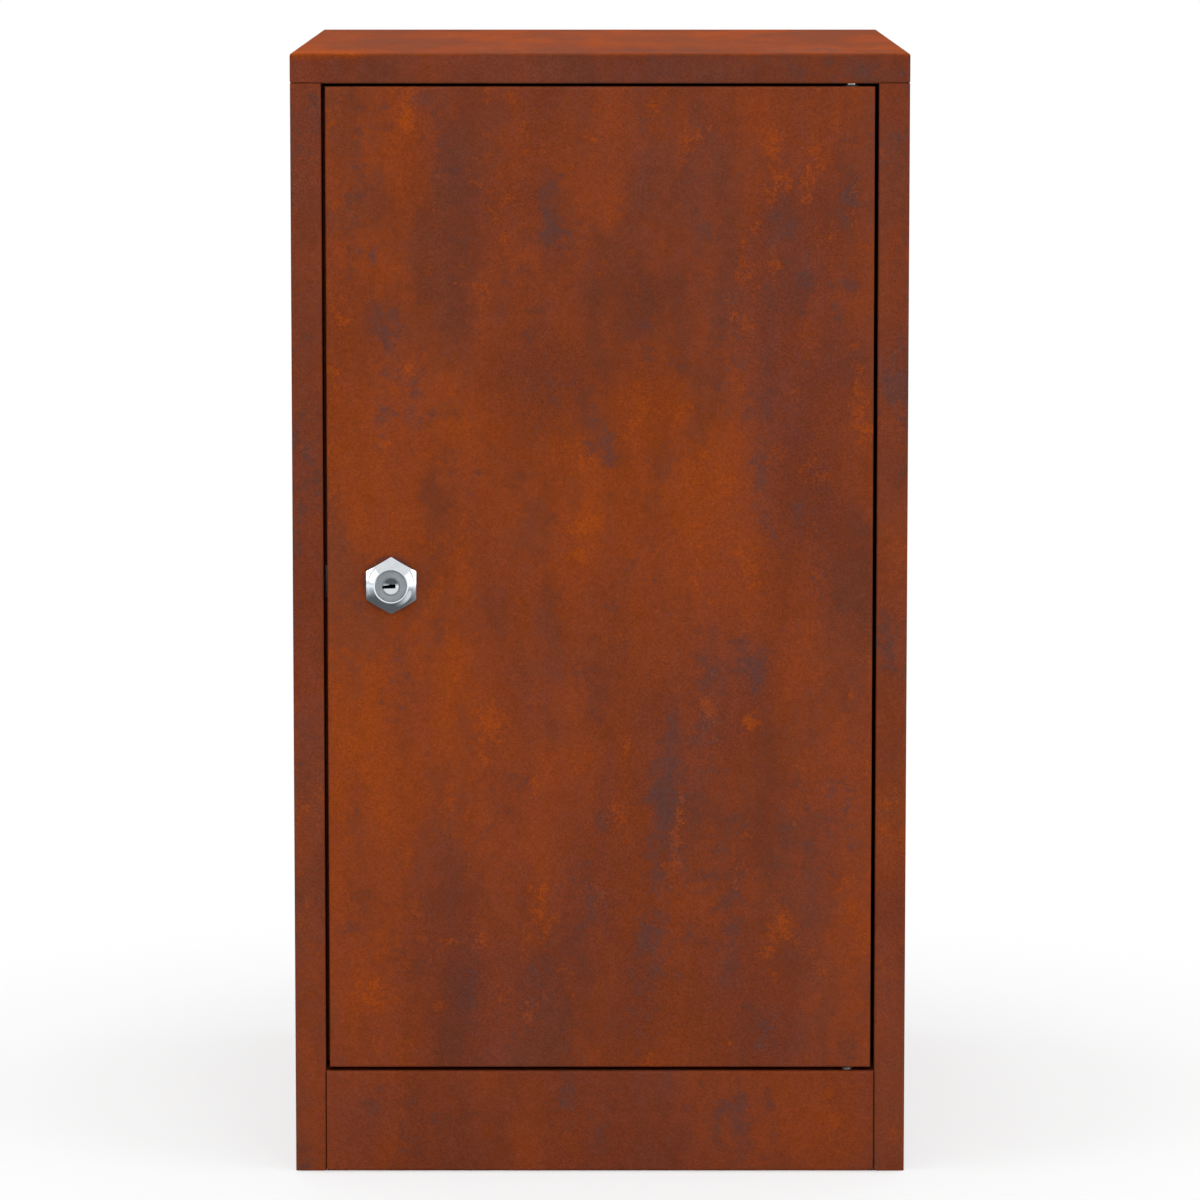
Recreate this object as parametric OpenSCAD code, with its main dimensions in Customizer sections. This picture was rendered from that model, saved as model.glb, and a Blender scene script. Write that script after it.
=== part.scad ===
// Parcel mailbox of folded weathering steel: a one-door cabinet with a cam lock.
// The front faces -Y. Z = 0 is the ground and the origin is under the middle of the cabinet.

/* [Cabinet] */
// Width over the side panels
body_w = 380; // [300:5:500]
// Height over the lid
body_h = 697; // [500:1:1000]
// Depth from the stiles to the back flanges
body_d = 450; // [300:5:600]
// Thickness of the steel sheet
sheet_t = 1.2; // [1:0.1:1.5]
// Outer radius of every fold
fold_r = 1.6; // [1.6:0.1:2.4]
// Width of the front stiles
stile_w = 19; // [16:0.5:24]
// Depth of the jambs behind the stiles
jamb_d = 21; // [21:0.5:26]
// Width of the door stop on the lock side
stop_w = 12; // [11:0.5:16]
// Width of the in-turned flanges
flange_w = 14; // [12:1:20]

/* [Lid and plinth] */
// Height of the lid's skirt
skirt_h = 18.5; // [14:0.5:30]
// Width of the lid's front flange, which is the door header
header_w = 24; // [22:1:30]
// Height of the plinth up to the floor of the compartment
plinth_h = 63.4; // [40:0.2:120]

/* [Door] */
// Gap down each side of the door
side_gap = 2.4; // [2:0.1:3]
// Gap above the door
top_gap = 1.9; // [1.9:0.1:3]
// Gap below the door
bottom_gap = 2.4; // [2.4:0.1:3.5]
// Depth of the door pan
door_d = 18; // [16:0.5:18]
// Width of the door's inner lips
door_lip = 12; // [10:1:14]
// Distance of the hinge axis from the door's right edge
hinge_inset = 14.2; // [12:0.1:16]
// Distance of the hinge axis behind the front
hinge_depth = 7; // [6:0.1:9]
// Width of the hat section that stiffens the door
hat_w = 60; // [50:5:90]

/* [Hinge pins] */
// Radius of the spindle inside the bush
spindle_r = 2.5; // [2:0.1:3]
// Length of the spindle inside the door
spindle_l = 12; // [8:1:16]
// Radius of the bright collar in the gap
pin_collar_r = 3.2; // [3.1:0.1:4]
// Radius of the bush where it passes through the door
bush_r = 4; // [3.8:0.1:4.5]
// Thickness of the bush's flange
bush_flange_t = 0.8; // [0.6:0.1:0.9]
// Radial play between a turning part and its bore
play = 0.05; // [0.02:0.01:0.1]

/* [Lock] */
// Height of the lock axis
lock_z = 369; // [300:1:420]
// Distance of the lock axis from the door's left edge
lock_inset = 39.6; // [36:0.1:50]
// Width of the hexagonal collar across its flats
hex_af = 31; // [28:0.5:34]
// How far the lock stands in front of the door
lock_reach = 8; // [7:0.5:10]
// Radius of the round lock head
head_r = 9.5; // [9:0.1:10]
// Radius of the threaded lock body
barrel_r = 8; // [7.6:0.1:8.4]
// Width of the lock body across its flats
barrel_af = 14; // [13.6:0.1:14.4]
// Radius of the rotor
plug_r = 5.5; // [5.2:0.1:5.8]
// Length of the cam from the lock axis to its end
cam_l = 40; // [38:1:42]
// Width of the cam
cam_w = 18; // [14:1:20]
// Thickness of the cam
cam_t = 2; // [1.5:0.1:2.5]

/* [Fixings] */
// Radius of the wall-fixing holes in the back
wall_hole_r = 4; // [3:0.5:5]
// Distance between the wall-fixing holes across the back
wall_pitch_x = 260; // [100:10:260]
// Distance between the wall-fixing holes up the back
wall_pitch_z = 500; // [200:10:520]
// Radius of a rivet's shank
rivet_r = 1.6; // [1.2:0.1:2]
// Radius of a rivet's domed head
rivet_head_r = 3.2; // [3:0.1:4]
// Height of a rivet's domed head
rivet_head_h = 1.2; // [0.8:0.1:1.4]

/* [Hidden] */
$fn = 48;

// More than enough for a cut to pass right through
past = 1;
half_t = sheet_t / 2;
// Radius of a fold along the middle of the sheet
mid_r = fold_r - half_t;

// Front and back planes, with the whole object centred on Y
front_y = (lock_reach - body_d - rivet_head_h) / 2;
back_y = front_y + body_d;

// Middle of the sheet in the left side panel, its stile and its jamb
side_x = -body_w / 2 + half_t;
stile_y = front_y + half_t;
jamb_x = -body_w / 2 + stile_w - half_t;
side_h = body_h - skirt_h;
// Length of side that folds with the stile or the back flange, clear of the other flanges
corner_l = 24;
// Gap between a jamb and the floor notched round it
jamb_clear = 0.8;
// Middle of the stop lip, and the length of jamb that folds with it
stop_y = front_y + jamb_d - half_t;
stop_root = 3;
// Gap above and below the stop lip
stop_clear = 2.6;
stop_z = plinth_h + stop_clear;
stop_h = side_h - stop_clear - stop_z;
edge_bevel = [2.2, 1.4];

// Back panel, between the back flanges and the floor
back_panel_y = back_y - 1.5 * sheet_t;
back_panel_w = body_w - 2 * sheet_t - 1;
back_panel_h = side_h - 0.2;
apron_w = body_w - 2 * stile_w - 0.8;
floor_w = body_w - 2 * sheet_t;
floor_y = back_y - 2.5 * sheet_t;

// Door
door_w = body_w - 2 * stile_w - 2 * side_gap;
door_z = plinth_h + bottom_gap;
door_top = side_h - top_gap;
door_h = door_top - door_z;
hinge_x = door_w / 2 - hinge_inset;
hinge_y = front_y + hinge_depth;
hat_d = 13;
hat_flange = 12;
hat_end = 40;

// Hinge pins and bushes
rest_gap = 0.1;
bush_flange_r = 5;
tenon_r = spindle_r - 0.25;
pin_head_r = 4;
pin_head_h = 1.5;

// Lock, measured along its axis from the front of the door
lock_x = -door_w / 2 + lock_inset;
head_d = 4;
barrel_back = 22.2;
cam_y = 22.4;
tenon_w = 7;
washer_t = 1;
nut_t = 4;
nut_af = 22;
dish_r = 4.9;
dish_d = 1;
slot = [7.6, 2.4, 9];
slot_x = -1.2;
screw_r = 2.5;
screw_head_r = 4.5;
screw_head_h = 3;
screw_l = 12;
socket_af = 3;
socket_d = 1.8;
cam_washer_r = 6;

// Strike and bumpers
strike_h = 20;
strike_t = 0.8;
bumper_r = 4;
bumper_t = 1.7;
bumper_stem_r = 2;
bumper_x = jamb_x + half_t + 6;
bumper_z = [stop_z + 55, side_h - 57];

// Rivets
rivet_x = body_w / 2 - 9;
rivet_tail_h = 1;
cap_rivet_y = [-body_d / 3, 0, body_d / 3];
floor_rivet_x = [-120, 0, 120];
floor_rivet_z = plinth_h - 9.4;
back_rivet_pitch = (side_h - 48.5 - floor_rivet_z) / 3;
back_rivet_z = [for (i = [0:3]) floor_rivet_z + i * back_rivet_pitch];

rust = "#7f3b1f";
plated_steel = "#a9a9a6";
chrome = "#d5d8da";
black_plastic = "#2a2a2a";

// ---- Helpers ----

function unit(v) = v / norm(v);
function absolute(v) = [abs(v[0]), abs(v[1])];
function across(v) = [abs(v[1]), abs(v[0])];

// One flat of a folded sheet, drawn end on, from a to b along X or Y.
module flat(a, b) {
    low = [min(a[0], b[0]), min(a[1], b[1])];
    thick = sheet_t * across(unit(b - a));
    translate(low - thick / 2) square(absolute(b - a) + thick);
}

// A quarter turn of sheet at a corner, between the directions into and out of it.
module fold(corner, into, out) {
    centre = corner + mid_r * (out - into);
    reach = mid_r + sheet_t;
    intersection() {
        translate(centre) difference() {
            circle(r = mid_r + half_t);
            circle(r = mid_r - half_t);
        }
        translate(centre + reach / 2 * (into - out)) square(reach, center = true);
    }
}

// Sheet folded at each inner point of a path of square corners, drawn end on.
// The path runs along the middle of the sheet.
module folded(path) {
    last = len(path) - 1;
    for (i = [0:last - 1]) {
        along = mid_r * unit(path[i + 1] - path[i]);
        flat(i > 0 ? path[i] + along : path[i], i < last - 1 ? path[i + 1] - along : path[i + 1]);
    }
    for (i = [1:last - 1]) {
        fold(path[i], unit(path[i] - path[i - 1]), unit(path[i + 1] - path[i]));
    }
}

// Carries a section drawn in Y and Z along X.
module along_x(from, to) {
    translate([from, 0, 0]) rotate([90, 0, 90]) linear_extrude(to - from) children();
}

// Carries a section drawn in X and Z along Y.
module along_y(from, to) {
    translate([0, to, 0]) rotate([90, 0, 0]) linear_extrude(to - from) children();
}

// Carries a section drawn in X and Y along Z.
module along_z(from, to) {
    translate([0, 0, from]) linear_extrude(to - from) children();
}

// Turns a shape made along +Z to run along +Y from the point given.
module face_back(at) {
    translate(at) rotate([-90, 0, 0]) children();
}

// Rectangle with round corners, centred on X, with its lower edge on Y = 0.
module rounded_rect(w, h, r) {
    translate([-w / 2 + r, 0]) square([w - 2 * r, h]);
    translate([-w / 2, r]) square([w, h - 2 * r]);
    for (x = [-w / 2 + r, w / 2 - r], y = [r, h - r]) translate([x, y]) circle(r = r);
}

// Block from Z = 0 up to d, whose edges along X and Y are round.
module rounded_block(w, h, d, r) {
    intersection() {
        along_y(-h / 2, h / 2) rounded_rect(w, d, r);
        along_x(-w / 2, w / 2) rounded_rect(h, d, r);
    }
}

// Folded pan that opens towards +Z, with lips turned in along X and along Y.
module pan(w, h, d, lip_x, lip_low, lip_high) {
    difference() {
        rounded_block(w, h, d, fold_r);
        translate([0, 0, sheet_t])
            rounded_block(w - 2 * sheet_t, h - 2 * sheet_t, d - 2 * sheet_t, fold_r - sheet_t);
        translate([-w / 2 + lip_x, -h / 2 + lip_low, d - sheet_t - past])
            cube([w - 2 * lip_x, h - lip_low - lip_high, sheet_t + 2 * past]);
    }
}

// Flat dome that stands on Z = 0.
module dome(r, h) {
    ball_r = (r * r + h * h) / (2 * h);
    intersection() {
        translate([0, 0, h - ball_r]) sphere(r = ball_r);
        cylinder(r = r + past, h = h + past);
    }
}

// Rivet along +Z through a stack of sheets, with its domed head below Z = 0.
module rivet(grip) {
    rotate([180, 0, 0]) dome(rivet_head_r, rivet_head_h);
    cylinder(r = rivet_r, h = grip);
    translate([0, 0, grip]) cylinder(r = rivet_r + 1, h = rivet_tail_h);
}

module rivet_hole() {
    translate([0, 0, -past]) cylinder(r = rivet_r + play, h = 2 * sheet_t + 2 * past);
}

// Places its children at each rivet, pointing away from the domed head.
module at_cap_rivets() {
    for (x = [-rivet_x, rivet_x], y = cap_rivet_y) translate([x, y, side_h - sheet_t]) children();
}

module at_back_rivets() {
    for (x = [-rivet_x, rivet_x], z = back_rivet_z) {
        translate([x, back_y, z]) rotate([90, 0, 0]) children();
    }
}

module at_floor_rivets() {
    for (x = floor_rivet_x) {
        translate([x, back_y - sheet_t, floor_rivet_z]) rotate([90, 0, 0]) children();
    }
}

// ---- Carcass ----

// Left side panel: back flange, side, stile and jamb in one sheet.
module side_panel(has_stop) {
    jamb_end = has_stop ? front_y + jamb_d - stop_root : front_y + jamb_d;
    difference() {
        union() {
            along_z(0, side_h) folded([
                [side_x, front_y + corner_l],
                [side_x, stile_y],
                [jamb_x, stile_y],
                [jamb_x, jamb_end]
            ]);
            along_z(0, side_h) folded([
                [side_x, back_y - corner_l],
                [side_x, back_y - half_t],
                [-body_w / 2 + flange_w, back_y - half_t]
            ]);
            along_y(front_y + corner_l, back_y - corner_l) folded([
                [-body_w / 2 + flange_w, half_t],
                [side_x, half_t],
                [side_x, side_h - half_t],
                [-body_w / 2 + flange_w, side_h - half_t]
            ]);
            if (has_stop) along_z(stop_z, stop_z + stop_h) folded([
                [jamb_x, jamb_end],
                [jamb_x, stop_y],
                [jamb_x + half_t + stop_w, stop_y]
            ]);
        }
        at_cap_rivets() rivet_hole();
        at_back_rivets() rivet_hole();
        if (has_stop) for (z = bumper_z) {
            face_back([bumper_x, stop_y - sheet_t, z])
                cylinder(r = bumper_stem_r + play, h = 2 * sheet_t);
        }
        along_y(front_y - past, front_y + fold_r) polygon([
            [jamb_x + half_t - edge_bevel[0], -past],
            [jamb_x + half_t - edge_bevel[0], 0],
            [jamb_x + half_t, edge_bevel[1]],
            [jamb_x + half_t + past, edge_bevel[1]],
            [jamb_x + half_t + past, -past]
        ]);
    }
}

module side_panel_left() {
    color(rust) side_panel(true);
}

module side_panel_right() {
    color(rust) mirror([1, 0, 0]) side_panel(false);
}

module back_panel() {
    color(rust) difference() {
        along_x(-back_panel_w / 2, back_panel_w / 2) folded([
            [back_panel_y - flange_w, half_t],
            [back_panel_y, half_t],
            [back_panel_y, back_panel_h - half_t],
            [back_panel_y - flange_w, back_panel_h - half_t]
        ]);
        at_back_rivets() rivet_hole();
        at_floor_rivets() rivet_hole();
        for (x = [-wall_pitch_x / 2, wall_pitch_x / 2], z = [-wall_pitch_z / 2, wall_pitch_z / 2]) {
            face_back([x, back_panel_y - sheet_t, lock_z + z])
                cylinder(r = wall_hole_r, h = 2 * sheet_t);
        }
    }
}

// Lid: its front flange is the header that carries the upper hinge pin.
module top_cap() {
    color(rust) difference() {
        translate([0, (front_y + back_y) / 2, body_h]) rotate([180, 0, 0])
            pan(body_w, body_d, skirt_h, flange_w, flange_w, header_w);
        at_cap_rivets() rivet_hole();
        translate([hinge_x, hinge_y, side_h - past])
            cylinder(r = tenon_r + play, h = sheet_t + 2 * past);
    }
}

// Floor and plinth apron in one sheet, notched round the jambs.
module floor_plinth() {
    color(rust) difference() {
        union() {
            along_x(-apron_w / 2, apron_w / 2) folded([
                [front_y + flange_w, half_t],
                [stile_y, half_t],
                [stile_y, plinth_h - half_t],
                [floor_y, plinth_h - half_t],
                [floor_y, plinth_h - flange_w - half_t]
            ]);
            for (side = [0, 1]) mirror([side, 0, 0]) {
                along_y(front_y + jamb_d + jamb_clear, floor_y + half_t - jamb_clear) folded([
                    [apron_w / 2, plinth_h - half_t],
                    [floor_w / 2 - half_t, plinth_h - half_t],
                    [floor_w / 2 - half_t, plinth_h - flange_w]
                ]);
            }
        }
        translate([hinge_x, hinge_y, plinth_h - sheet_t - past])
            cylinder(r = tenon_r + play, h = sheet_t + 2 * past);
        at_floor_rivets() rivet_hole();
        for (side = [0, 1]) mirror([side, 0, 0]) {
            along_y(front_y - past, front_y + fold_r) polygon([
                [apron_w / 2 - edge_bevel[0], -past],
                [apron_w / 2 - edge_bevel[0], 0],
                [apron_w / 2, edge_bevel[1]],
                [apron_w / 2 + past, edge_bevel[1]],
                [apron_w / 2 + past, -past]
            ]);
        }
    }
}

// Pivot pin from its collar's top at Z = 0: the spindle points down and the tenon up.
module hinge_pin(collar_h) {
    color(plated_steel) {
        translate([0, 0, -collar_h]) cylinder(r = pin_collar_r, h = collar_h);
        translate([0, 0, -collar_h - spindle_l]) cylinder(r = spindle_r, h = spindle_l);
        cylinder(r = tenon_r, h = sheet_t);
        translate([0, 0, sheet_t]) dome(pin_head_r, pin_head_h);
    }
}

module upper_hinge_pin() {
    translate([hinge_x, hinge_y, side_h]) hinge_pin(top_gap - bush_flange_t - rest_gap);
}

module lower_hinge_pin() {
    translate([hinge_x, hinge_y, plinth_h]) rotate([180, 0, 0])
        hinge_pin(bottom_gap - bush_flange_t - rest_gap);
}

// Spring clip of plated steel pushed over the free edge of the door stop.
module strike_plate() {
    edge_x = jamb_x + half_t + stop_w;
    color(plated_steel) along_z(lock_z - strike_h / 2, lock_z + strike_h / 2) difference() {
        translate([edge_x - stop_w + 0.5, stop_y - half_t - strike_t])
            square([stop_w - 0.5 + strike_t, sheet_t + 2 * strike_t]);
        translate([edge_x - stop_w, stop_y - half_t]) square([stop_w, sheet_t]);
        translate([edge_x - stop_w, stop_y]) square([2.5, sheet_t + strike_t]);
    }
}

module door_bumpers() {
    stem_l = bumper_t + sheet_t;
    color(black_plastic) for (z = bumper_z) {
        face_back([bumper_x, stop_y - half_t - bumper_t, z]) {
            cylinder(r = bumper_r, h = bumper_t);
            cylinder(r = bumper_stem_r, h = stem_l);
            translate([0, 0, stem_l]) dome(bumper_stem_r + 0.7, rivet_head_h);
        }
    }
}

module back_rivets() {
    color(plated_steel) at_back_rivets() rivet(2 * sheet_t);
}

module cap_rivets() {
    color(plated_steel) at_cap_rivets() rivet(2 * sheet_t);
}

module floor_rivets() {
    color(plated_steel) at_floor_rivets() rivet(2 * sheet_t);
}

// ---- Door ----

// Round lock body with two flats, grown by a gap.
module barrel_section(gap) {
    intersection() {
        circle(r = barrel_r + gap);
        square([barrel_af + 2 * gap, 3 * barrel_r], center = true);
    }
}

module door_panel() {
    color(rust) difference() {
        face_back([0, front_y, door_z + door_h / 2])
            pan(door_w, door_h, door_d, door_lip, door_lip, door_lip);
        face_back([lock_x, front_y - past, lock_z])
            linear_extrude(sheet_t + 2 * past) barrel_section(3 * play);
        translate([hinge_x, hinge_y, door_z - past])
            cylinder(r = bush_r + play, h = sheet_t + 2 * past);
        translate([hinge_x, hinge_y, door_top - sheet_t - past])
            cylinder(r = bush_r + play, h = sheet_t + 2 * past);
    }
}

// Hat section welded to the inside of the door.
module door_stiffener() {
    foot_y = front_y + sheet_t + half_t;
    crown_y = front_y + sheet_t + hat_d - half_t;
    web_x = hat_w / 2 - hat_flange;
    color(rust) along_z(door_z + hat_end, door_top - hat_end) folded([
        [-hat_w / 2, foot_y],
        [-web_x, foot_y],
        [-web_x, crown_y],
        [web_x, crown_y],
        [web_x, foot_y],
        [hat_w / 2, foot_y]
    ]);
}

// Bush with its flange above Z = 0 and its body below.
module hinge_bush() {
    color(black_plastic) difference() {
        union() {
            cylinder(r = bush_flange_r, h = bush_flange_t);
            translate([0, 0, -spindle_l]) cylinder(r = bush_r, h = spindle_l);
        }
        translate([0, 0, -spindle_l - past])
            cylinder(r = spindle_r + play, h = spindle_l + bush_flange_t + 2 * past);
    }
}

module upper_hinge_bush() {
    translate([hinge_x, hinge_y, door_top]) hinge_bush();
}

module lower_hinge_bush() {
    translate([hinge_x, hinge_y, door_z]) rotate([180, 0, 0]) hinge_bush();
}

// Hexagonal bezel, turned to a cone towards the round lock head.
module lock_collar() {
    corner_r = hex_af / sqrt(3);
    color(chrome) face_back([lock_x, front_y, lock_z]) mirror([0, 0, 1]) difference() {
        intersection() {
            rotate(90) cylinder(r = corner_r, h = lock_reach, $fn = 6);
            rotate_extrude() polygon([
                [0, 0],
                [corner_r + past, 0],
                [corner_r + past, 0.8],
                [14.3, 3.4],
                [10.6, lock_reach - 0.6],
                [10.2, lock_reach - 0.3],
                [0, lock_reach - 0.3]
            ]);
        }
        translate([0, 0, -past]) cylinder(r = barrel_r + play, h = lock_reach);
        translate([0, 0, lock_reach - head_d]) cylinder(r = head_r + play, h = head_d);
    }
}

module lock_barrel() {
    color(plated_steel) face_back([lock_x, front_y - lock_reach, lock_z]) difference() {
        union() {
            cylinder(r = head_r, h = head_d);
            linear_extrude(lock_reach + barrel_back) barrel_section(0);
        }
        translate([0, 0, -past])
            cylinder(r = plug_r + play, h = lock_reach + barrel_back + 2 * past);
    }
}

module lock_washer() {
    color(plated_steel) face_back([lock_x, front_y + sheet_t, lock_z]) difference() {
        cylinder(r = nut_af / 2 + 1.5, h = washer_t);
        translate([0, 0, -past]) cylinder(r = barrel_r + 2 * play, h = washer_t + 2 * past);
    }
}

module lock_nut() {
    color(plated_steel) face_back([lock_x, front_y + sheet_t + washer_t, lock_z]) difference() {
        cylinder(r = nut_af / sqrt(3), h = nut_t, $fn = 6);
        translate([0, 0, -past]) cylinder(r = barrel_r + play, h = nut_t + 2 * past);
    }
}

// ---- Lock rotor: at rest it is unlocked and the cam hangs down ----

module lock_plug() {
    plug_l = lock_reach - 0.3 + cam_y - rest_gap;
    color(chrome) face_back([lock_x, front_y - lock_reach + 0.3, lock_z]) difference() {
        union() {
            cylinder(r = plug_r, h = plug_l);
            translate([-tenon_w / 2, -tenon_w / 2, 0]) cube([tenon_w, tenon_w, plug_l + cam_t]);
        }
        translate([0, 0, -past]) cylinder(r = dish_r, h = dish_d + past);
        translate([slot_x - slot[0] / 2, -slot[1] / 2, -past]) cube(slot + [0, 0, past]);
        translate([0, 0, plug_l + cam_t - screw_l]) cylinder(r = screw_r + play, h = screw_l + past);
    }
}

module lock_cam() {
    end_r = 3;
    color(plated_steel) face_back([lock_x, front_y + cam_y, lock_z]) linear_extrude(cam_t) difference() {
        union() {
            circle(r = cam_w / 2);
            translate([-cam_w / 2, 0]) square([cam_w, cam_l - end_r]);
            translate([-cam_w / 2 + end_r, 0]) square([cam_w - 2 * end_r, cam_l]);
            for (x = [-cam_w / 2 + end_r, cam_w / 2 - end_r]) translate([x, cam_l - end_r]) circle(r = end_r);
        }
        square(tenon_w + 2 * play, center = true);
    }
}

module cam_washer() {
    color(plated_steel) face_back([lock_x, front_y + cam_y + cam_t, lock_z]) difference() {
        cylinder(r = cam_washer_r, h = washer_t);
        translate([0, 0, -past]) cylinder(r = screw_r + 2 * play, h = washer_t + 2 * past);
    }
}

module cam_screw() {
    shank_l = screw_l - 2;
    color(plated_steel) face_back([lock_x, front_y + cam_y + cam_t + washer_t, lock_z]) difference() {
        union() {
            translate([0, 0, -shank_l]) cylinder(r = screw_r, h = shank_l);
            dome(screw_head_r, screw_head_h);
        }
        translate([0, 0, screw_head_h - socket_d])
            cylinder(r = socket_af / sqrt(3), h = socket_d + past, $fn = 6);
    }
}

side_panel_left();
side_panel_right();
back_panel();
top_cap();
floor_plinth();
upper_hinge_pin();
lower_hinge_pin();
strike_plate();
door_bumpers();
back_rivets();
cap_rivets();
floor_rivets();
door_panel();
door_stiffener();
upper_hinge_bush();
lower_hinge_bush();
lock_collar();
lock_barrel();
lock_washer();
lock_nut();
lock_plug();
lock_cam();
cam_washer();
cam_screw();
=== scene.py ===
"""Looks of a parcel mailbox folded from weathering steel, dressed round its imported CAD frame.

Every length is in metres and in the frame's own axes: +Z up, -Y out of the front, +X to the right.
The folded sheets keep their CAD shape and get a rust finish. The lock, rivets, hinge pins, bushes,
strike and buffers are replaced by surfaces worked out here from a profile or an outline.
"""

import logging
import math
from collections.abc import Sequence
from dataclasses import dataclass
from enum import Enum

import bpy
import numpy as np
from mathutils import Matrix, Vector


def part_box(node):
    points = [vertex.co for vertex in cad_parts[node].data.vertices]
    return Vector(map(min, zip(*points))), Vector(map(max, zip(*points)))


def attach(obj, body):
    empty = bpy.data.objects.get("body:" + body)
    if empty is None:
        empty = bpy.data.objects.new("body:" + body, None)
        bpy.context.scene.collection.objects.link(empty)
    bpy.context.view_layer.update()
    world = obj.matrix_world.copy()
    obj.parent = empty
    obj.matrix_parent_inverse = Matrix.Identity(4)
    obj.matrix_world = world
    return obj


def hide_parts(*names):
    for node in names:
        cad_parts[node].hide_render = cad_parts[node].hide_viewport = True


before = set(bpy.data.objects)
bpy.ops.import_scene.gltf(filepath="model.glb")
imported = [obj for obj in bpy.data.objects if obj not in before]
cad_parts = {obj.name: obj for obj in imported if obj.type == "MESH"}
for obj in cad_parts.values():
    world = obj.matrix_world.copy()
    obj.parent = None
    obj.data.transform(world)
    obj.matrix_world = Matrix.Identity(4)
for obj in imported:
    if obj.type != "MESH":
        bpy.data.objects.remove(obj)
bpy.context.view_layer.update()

log = logging.getLogger("mailbox")

Tree = bpy.types.NodeTree
Socket = bpy.types.NodeSocket
Piece = bpy.types.Object
Finish = bpy.types.Material
Triple = tuple[float, float, float]
Pair = tuple[float, float]
Profile = list[Pair]
Rows = tuple[tuple[float, ...], ...]

MM = 0.001


# ---- Node helpers ----


def linear(colour: str) -> tuple[float, float, float, float]:
    """Turns a colour written as sRGB hex into linear RGBA.

    Args:
        colour: six hex digits after a hash sign.

    Returns:
        Linear red, green, blue and an alpha of 1.
    """
    levels = [int(colour[i : i + 2], 16) / 255 for i in (1, 3, 5)]
    curve = [c / 12.92 if c <= 0.04045 else ((c + 0.055) / 1.055) ** 2.4 for c in levels]
    return (*curve, 1.0)


def feed(tree: Tree, node: bpy.types.Node, inputs: dict) -> None:
    """Sets or links a node's inputs.

    Args:
        tree: the tree that holds the node.
        node: the node.
        inputs: values or output sockets, by the input's name or number.
    """
    for key, value in inputs.items():
        if isinstance(value, Socket):
            tree.links.new(value, node.inputs[key])
        else:
            node.inputs[key].default_value = value


def add(
    tree: Tree,
    kind: str,
    inputs: dict | None = None,
    stops: Sequence[tuple[float, str]] = (),
    **settings: object,
) -> bpy.types.Node:
    """Adds one shader node, with its settings, values and links.

    Args:
        tree: the tree that gets the node.
        kind: the node's type without its ShaderNode prefix.
        inputs: values or output sockets, by the input's name or number.
        stops: places and hex colours of a colour ramp.
        settings: the node's own properties.

    Returns:
        The new node.
    """
    node = tree.nodes.new("ShaderNode" + kind)
    for key, value in settings.items():
        setattr(node, key, value)
    feed(tree, node, inputs or {})
    if stops:
        band = node.color_ramp.elements
        while len(band) < len(stops):
            band.new(1.0)
        for element, (place, colour) in zip(band, stops):
            element.position = place
            element.color = linear(colour)
    return node


def blank_material(name: str) -> tuple[Finish, Tree, bpy.types.Node]:
    """Makes a material with one principled shader.

    Args:
        name: the finish's name.

    Returns:
        The material, its node tree and its shader.
    """
    material = bpy.data.materials.new(name)
    material.use_nodes = True
    tree = material.node_tree
    tree.nodes.clear()
    shader = add(tree, "BsdfPrincipled")
    add(tree, "OutputMaterial", {"Surface": shader.outputs[0]})
    return material, tree, shader


# ---- Finishes ----


@dataclass(frozen=True)
class Stain:
    """A soft-edged patch on the sheet where the rust leans darker, greyer or more orange.

    Attributes:
        centre: its middle in the frame, in metres.
        reach: its half-size along X, Y and Z, in metres.
        tone: how far it moves the rust towards orange, or below zero towards brown.
        grey: how far it brings out the purple-grey scale.
        fresh: how far it brings out fresh orange rust.
        film: how far it thickens the dark film.
        full: the share of its reach within which it is at full strength.
    """

    centre: Triple
    reach: Triple
    tone: float = 0.0
    grey: float = 0.0
    fresh: float = 0.0
    film: float = 0.0
    full: float = 0.0

    def nearness(self, tree: Tree, place: Socket) -> Socket:
        """Gives a mask that falls smoothly from 1 to 0 at the reach.

        Args:
            tree: the material's tree.
            place: Object coordinates.

        Returns:
            The mask.
        """
        narrow = tuple(1 / r for r in self.reach)
        start = tuple(-c / r for c, r in zip(self.centre, self.reach))
        spot = add(tree, "Mapping", {"Vector": place, "Location": start, "Scale": narrow}).outputs[0]
        far = add(tree, "VectorMath", {0: spot}, operation="LENGTH").outputs["Value"]
        fall = {"Value": far, "From Min": 1.0, "From Max": self.full}
        return add(tree, "MapRange", fall, interpolation_type="SMOOTHSTEP").outputs[0]


@dataclass(frozen=True)
class Layer:
    """A colour that lies over the rust where a value passes from low to high.

    Attributes:
        colour: its colour.
        low: where it starts.
        high: where it is full.
        most: how much it then hides.
    """

    colour: str
    low: float
    high: float
    most: float

    def over(self, tree: Tree, value: Socket, under: Socket, share: float) -> Socket:
        """Lays the colour over another.

        Args:
            tree: the material's tree.
            value: what it follows.
            under: the colour beneath.
            share: scales how much it hides.

        Returns:
            The mixed colour.
        """
        rise = {"Value": value, "From Min": self.low, "From Max": self.high, "To Max": self.most * share}
        mask = add(tree, "MapRange", rise, interpolation_type="SMOOTHSTEP").outputs[0]
        return add(tree, "Mix", {0: mask, 6: under, 7: linear(self.colour)}, data_type="RGBA").outputs[2]


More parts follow.
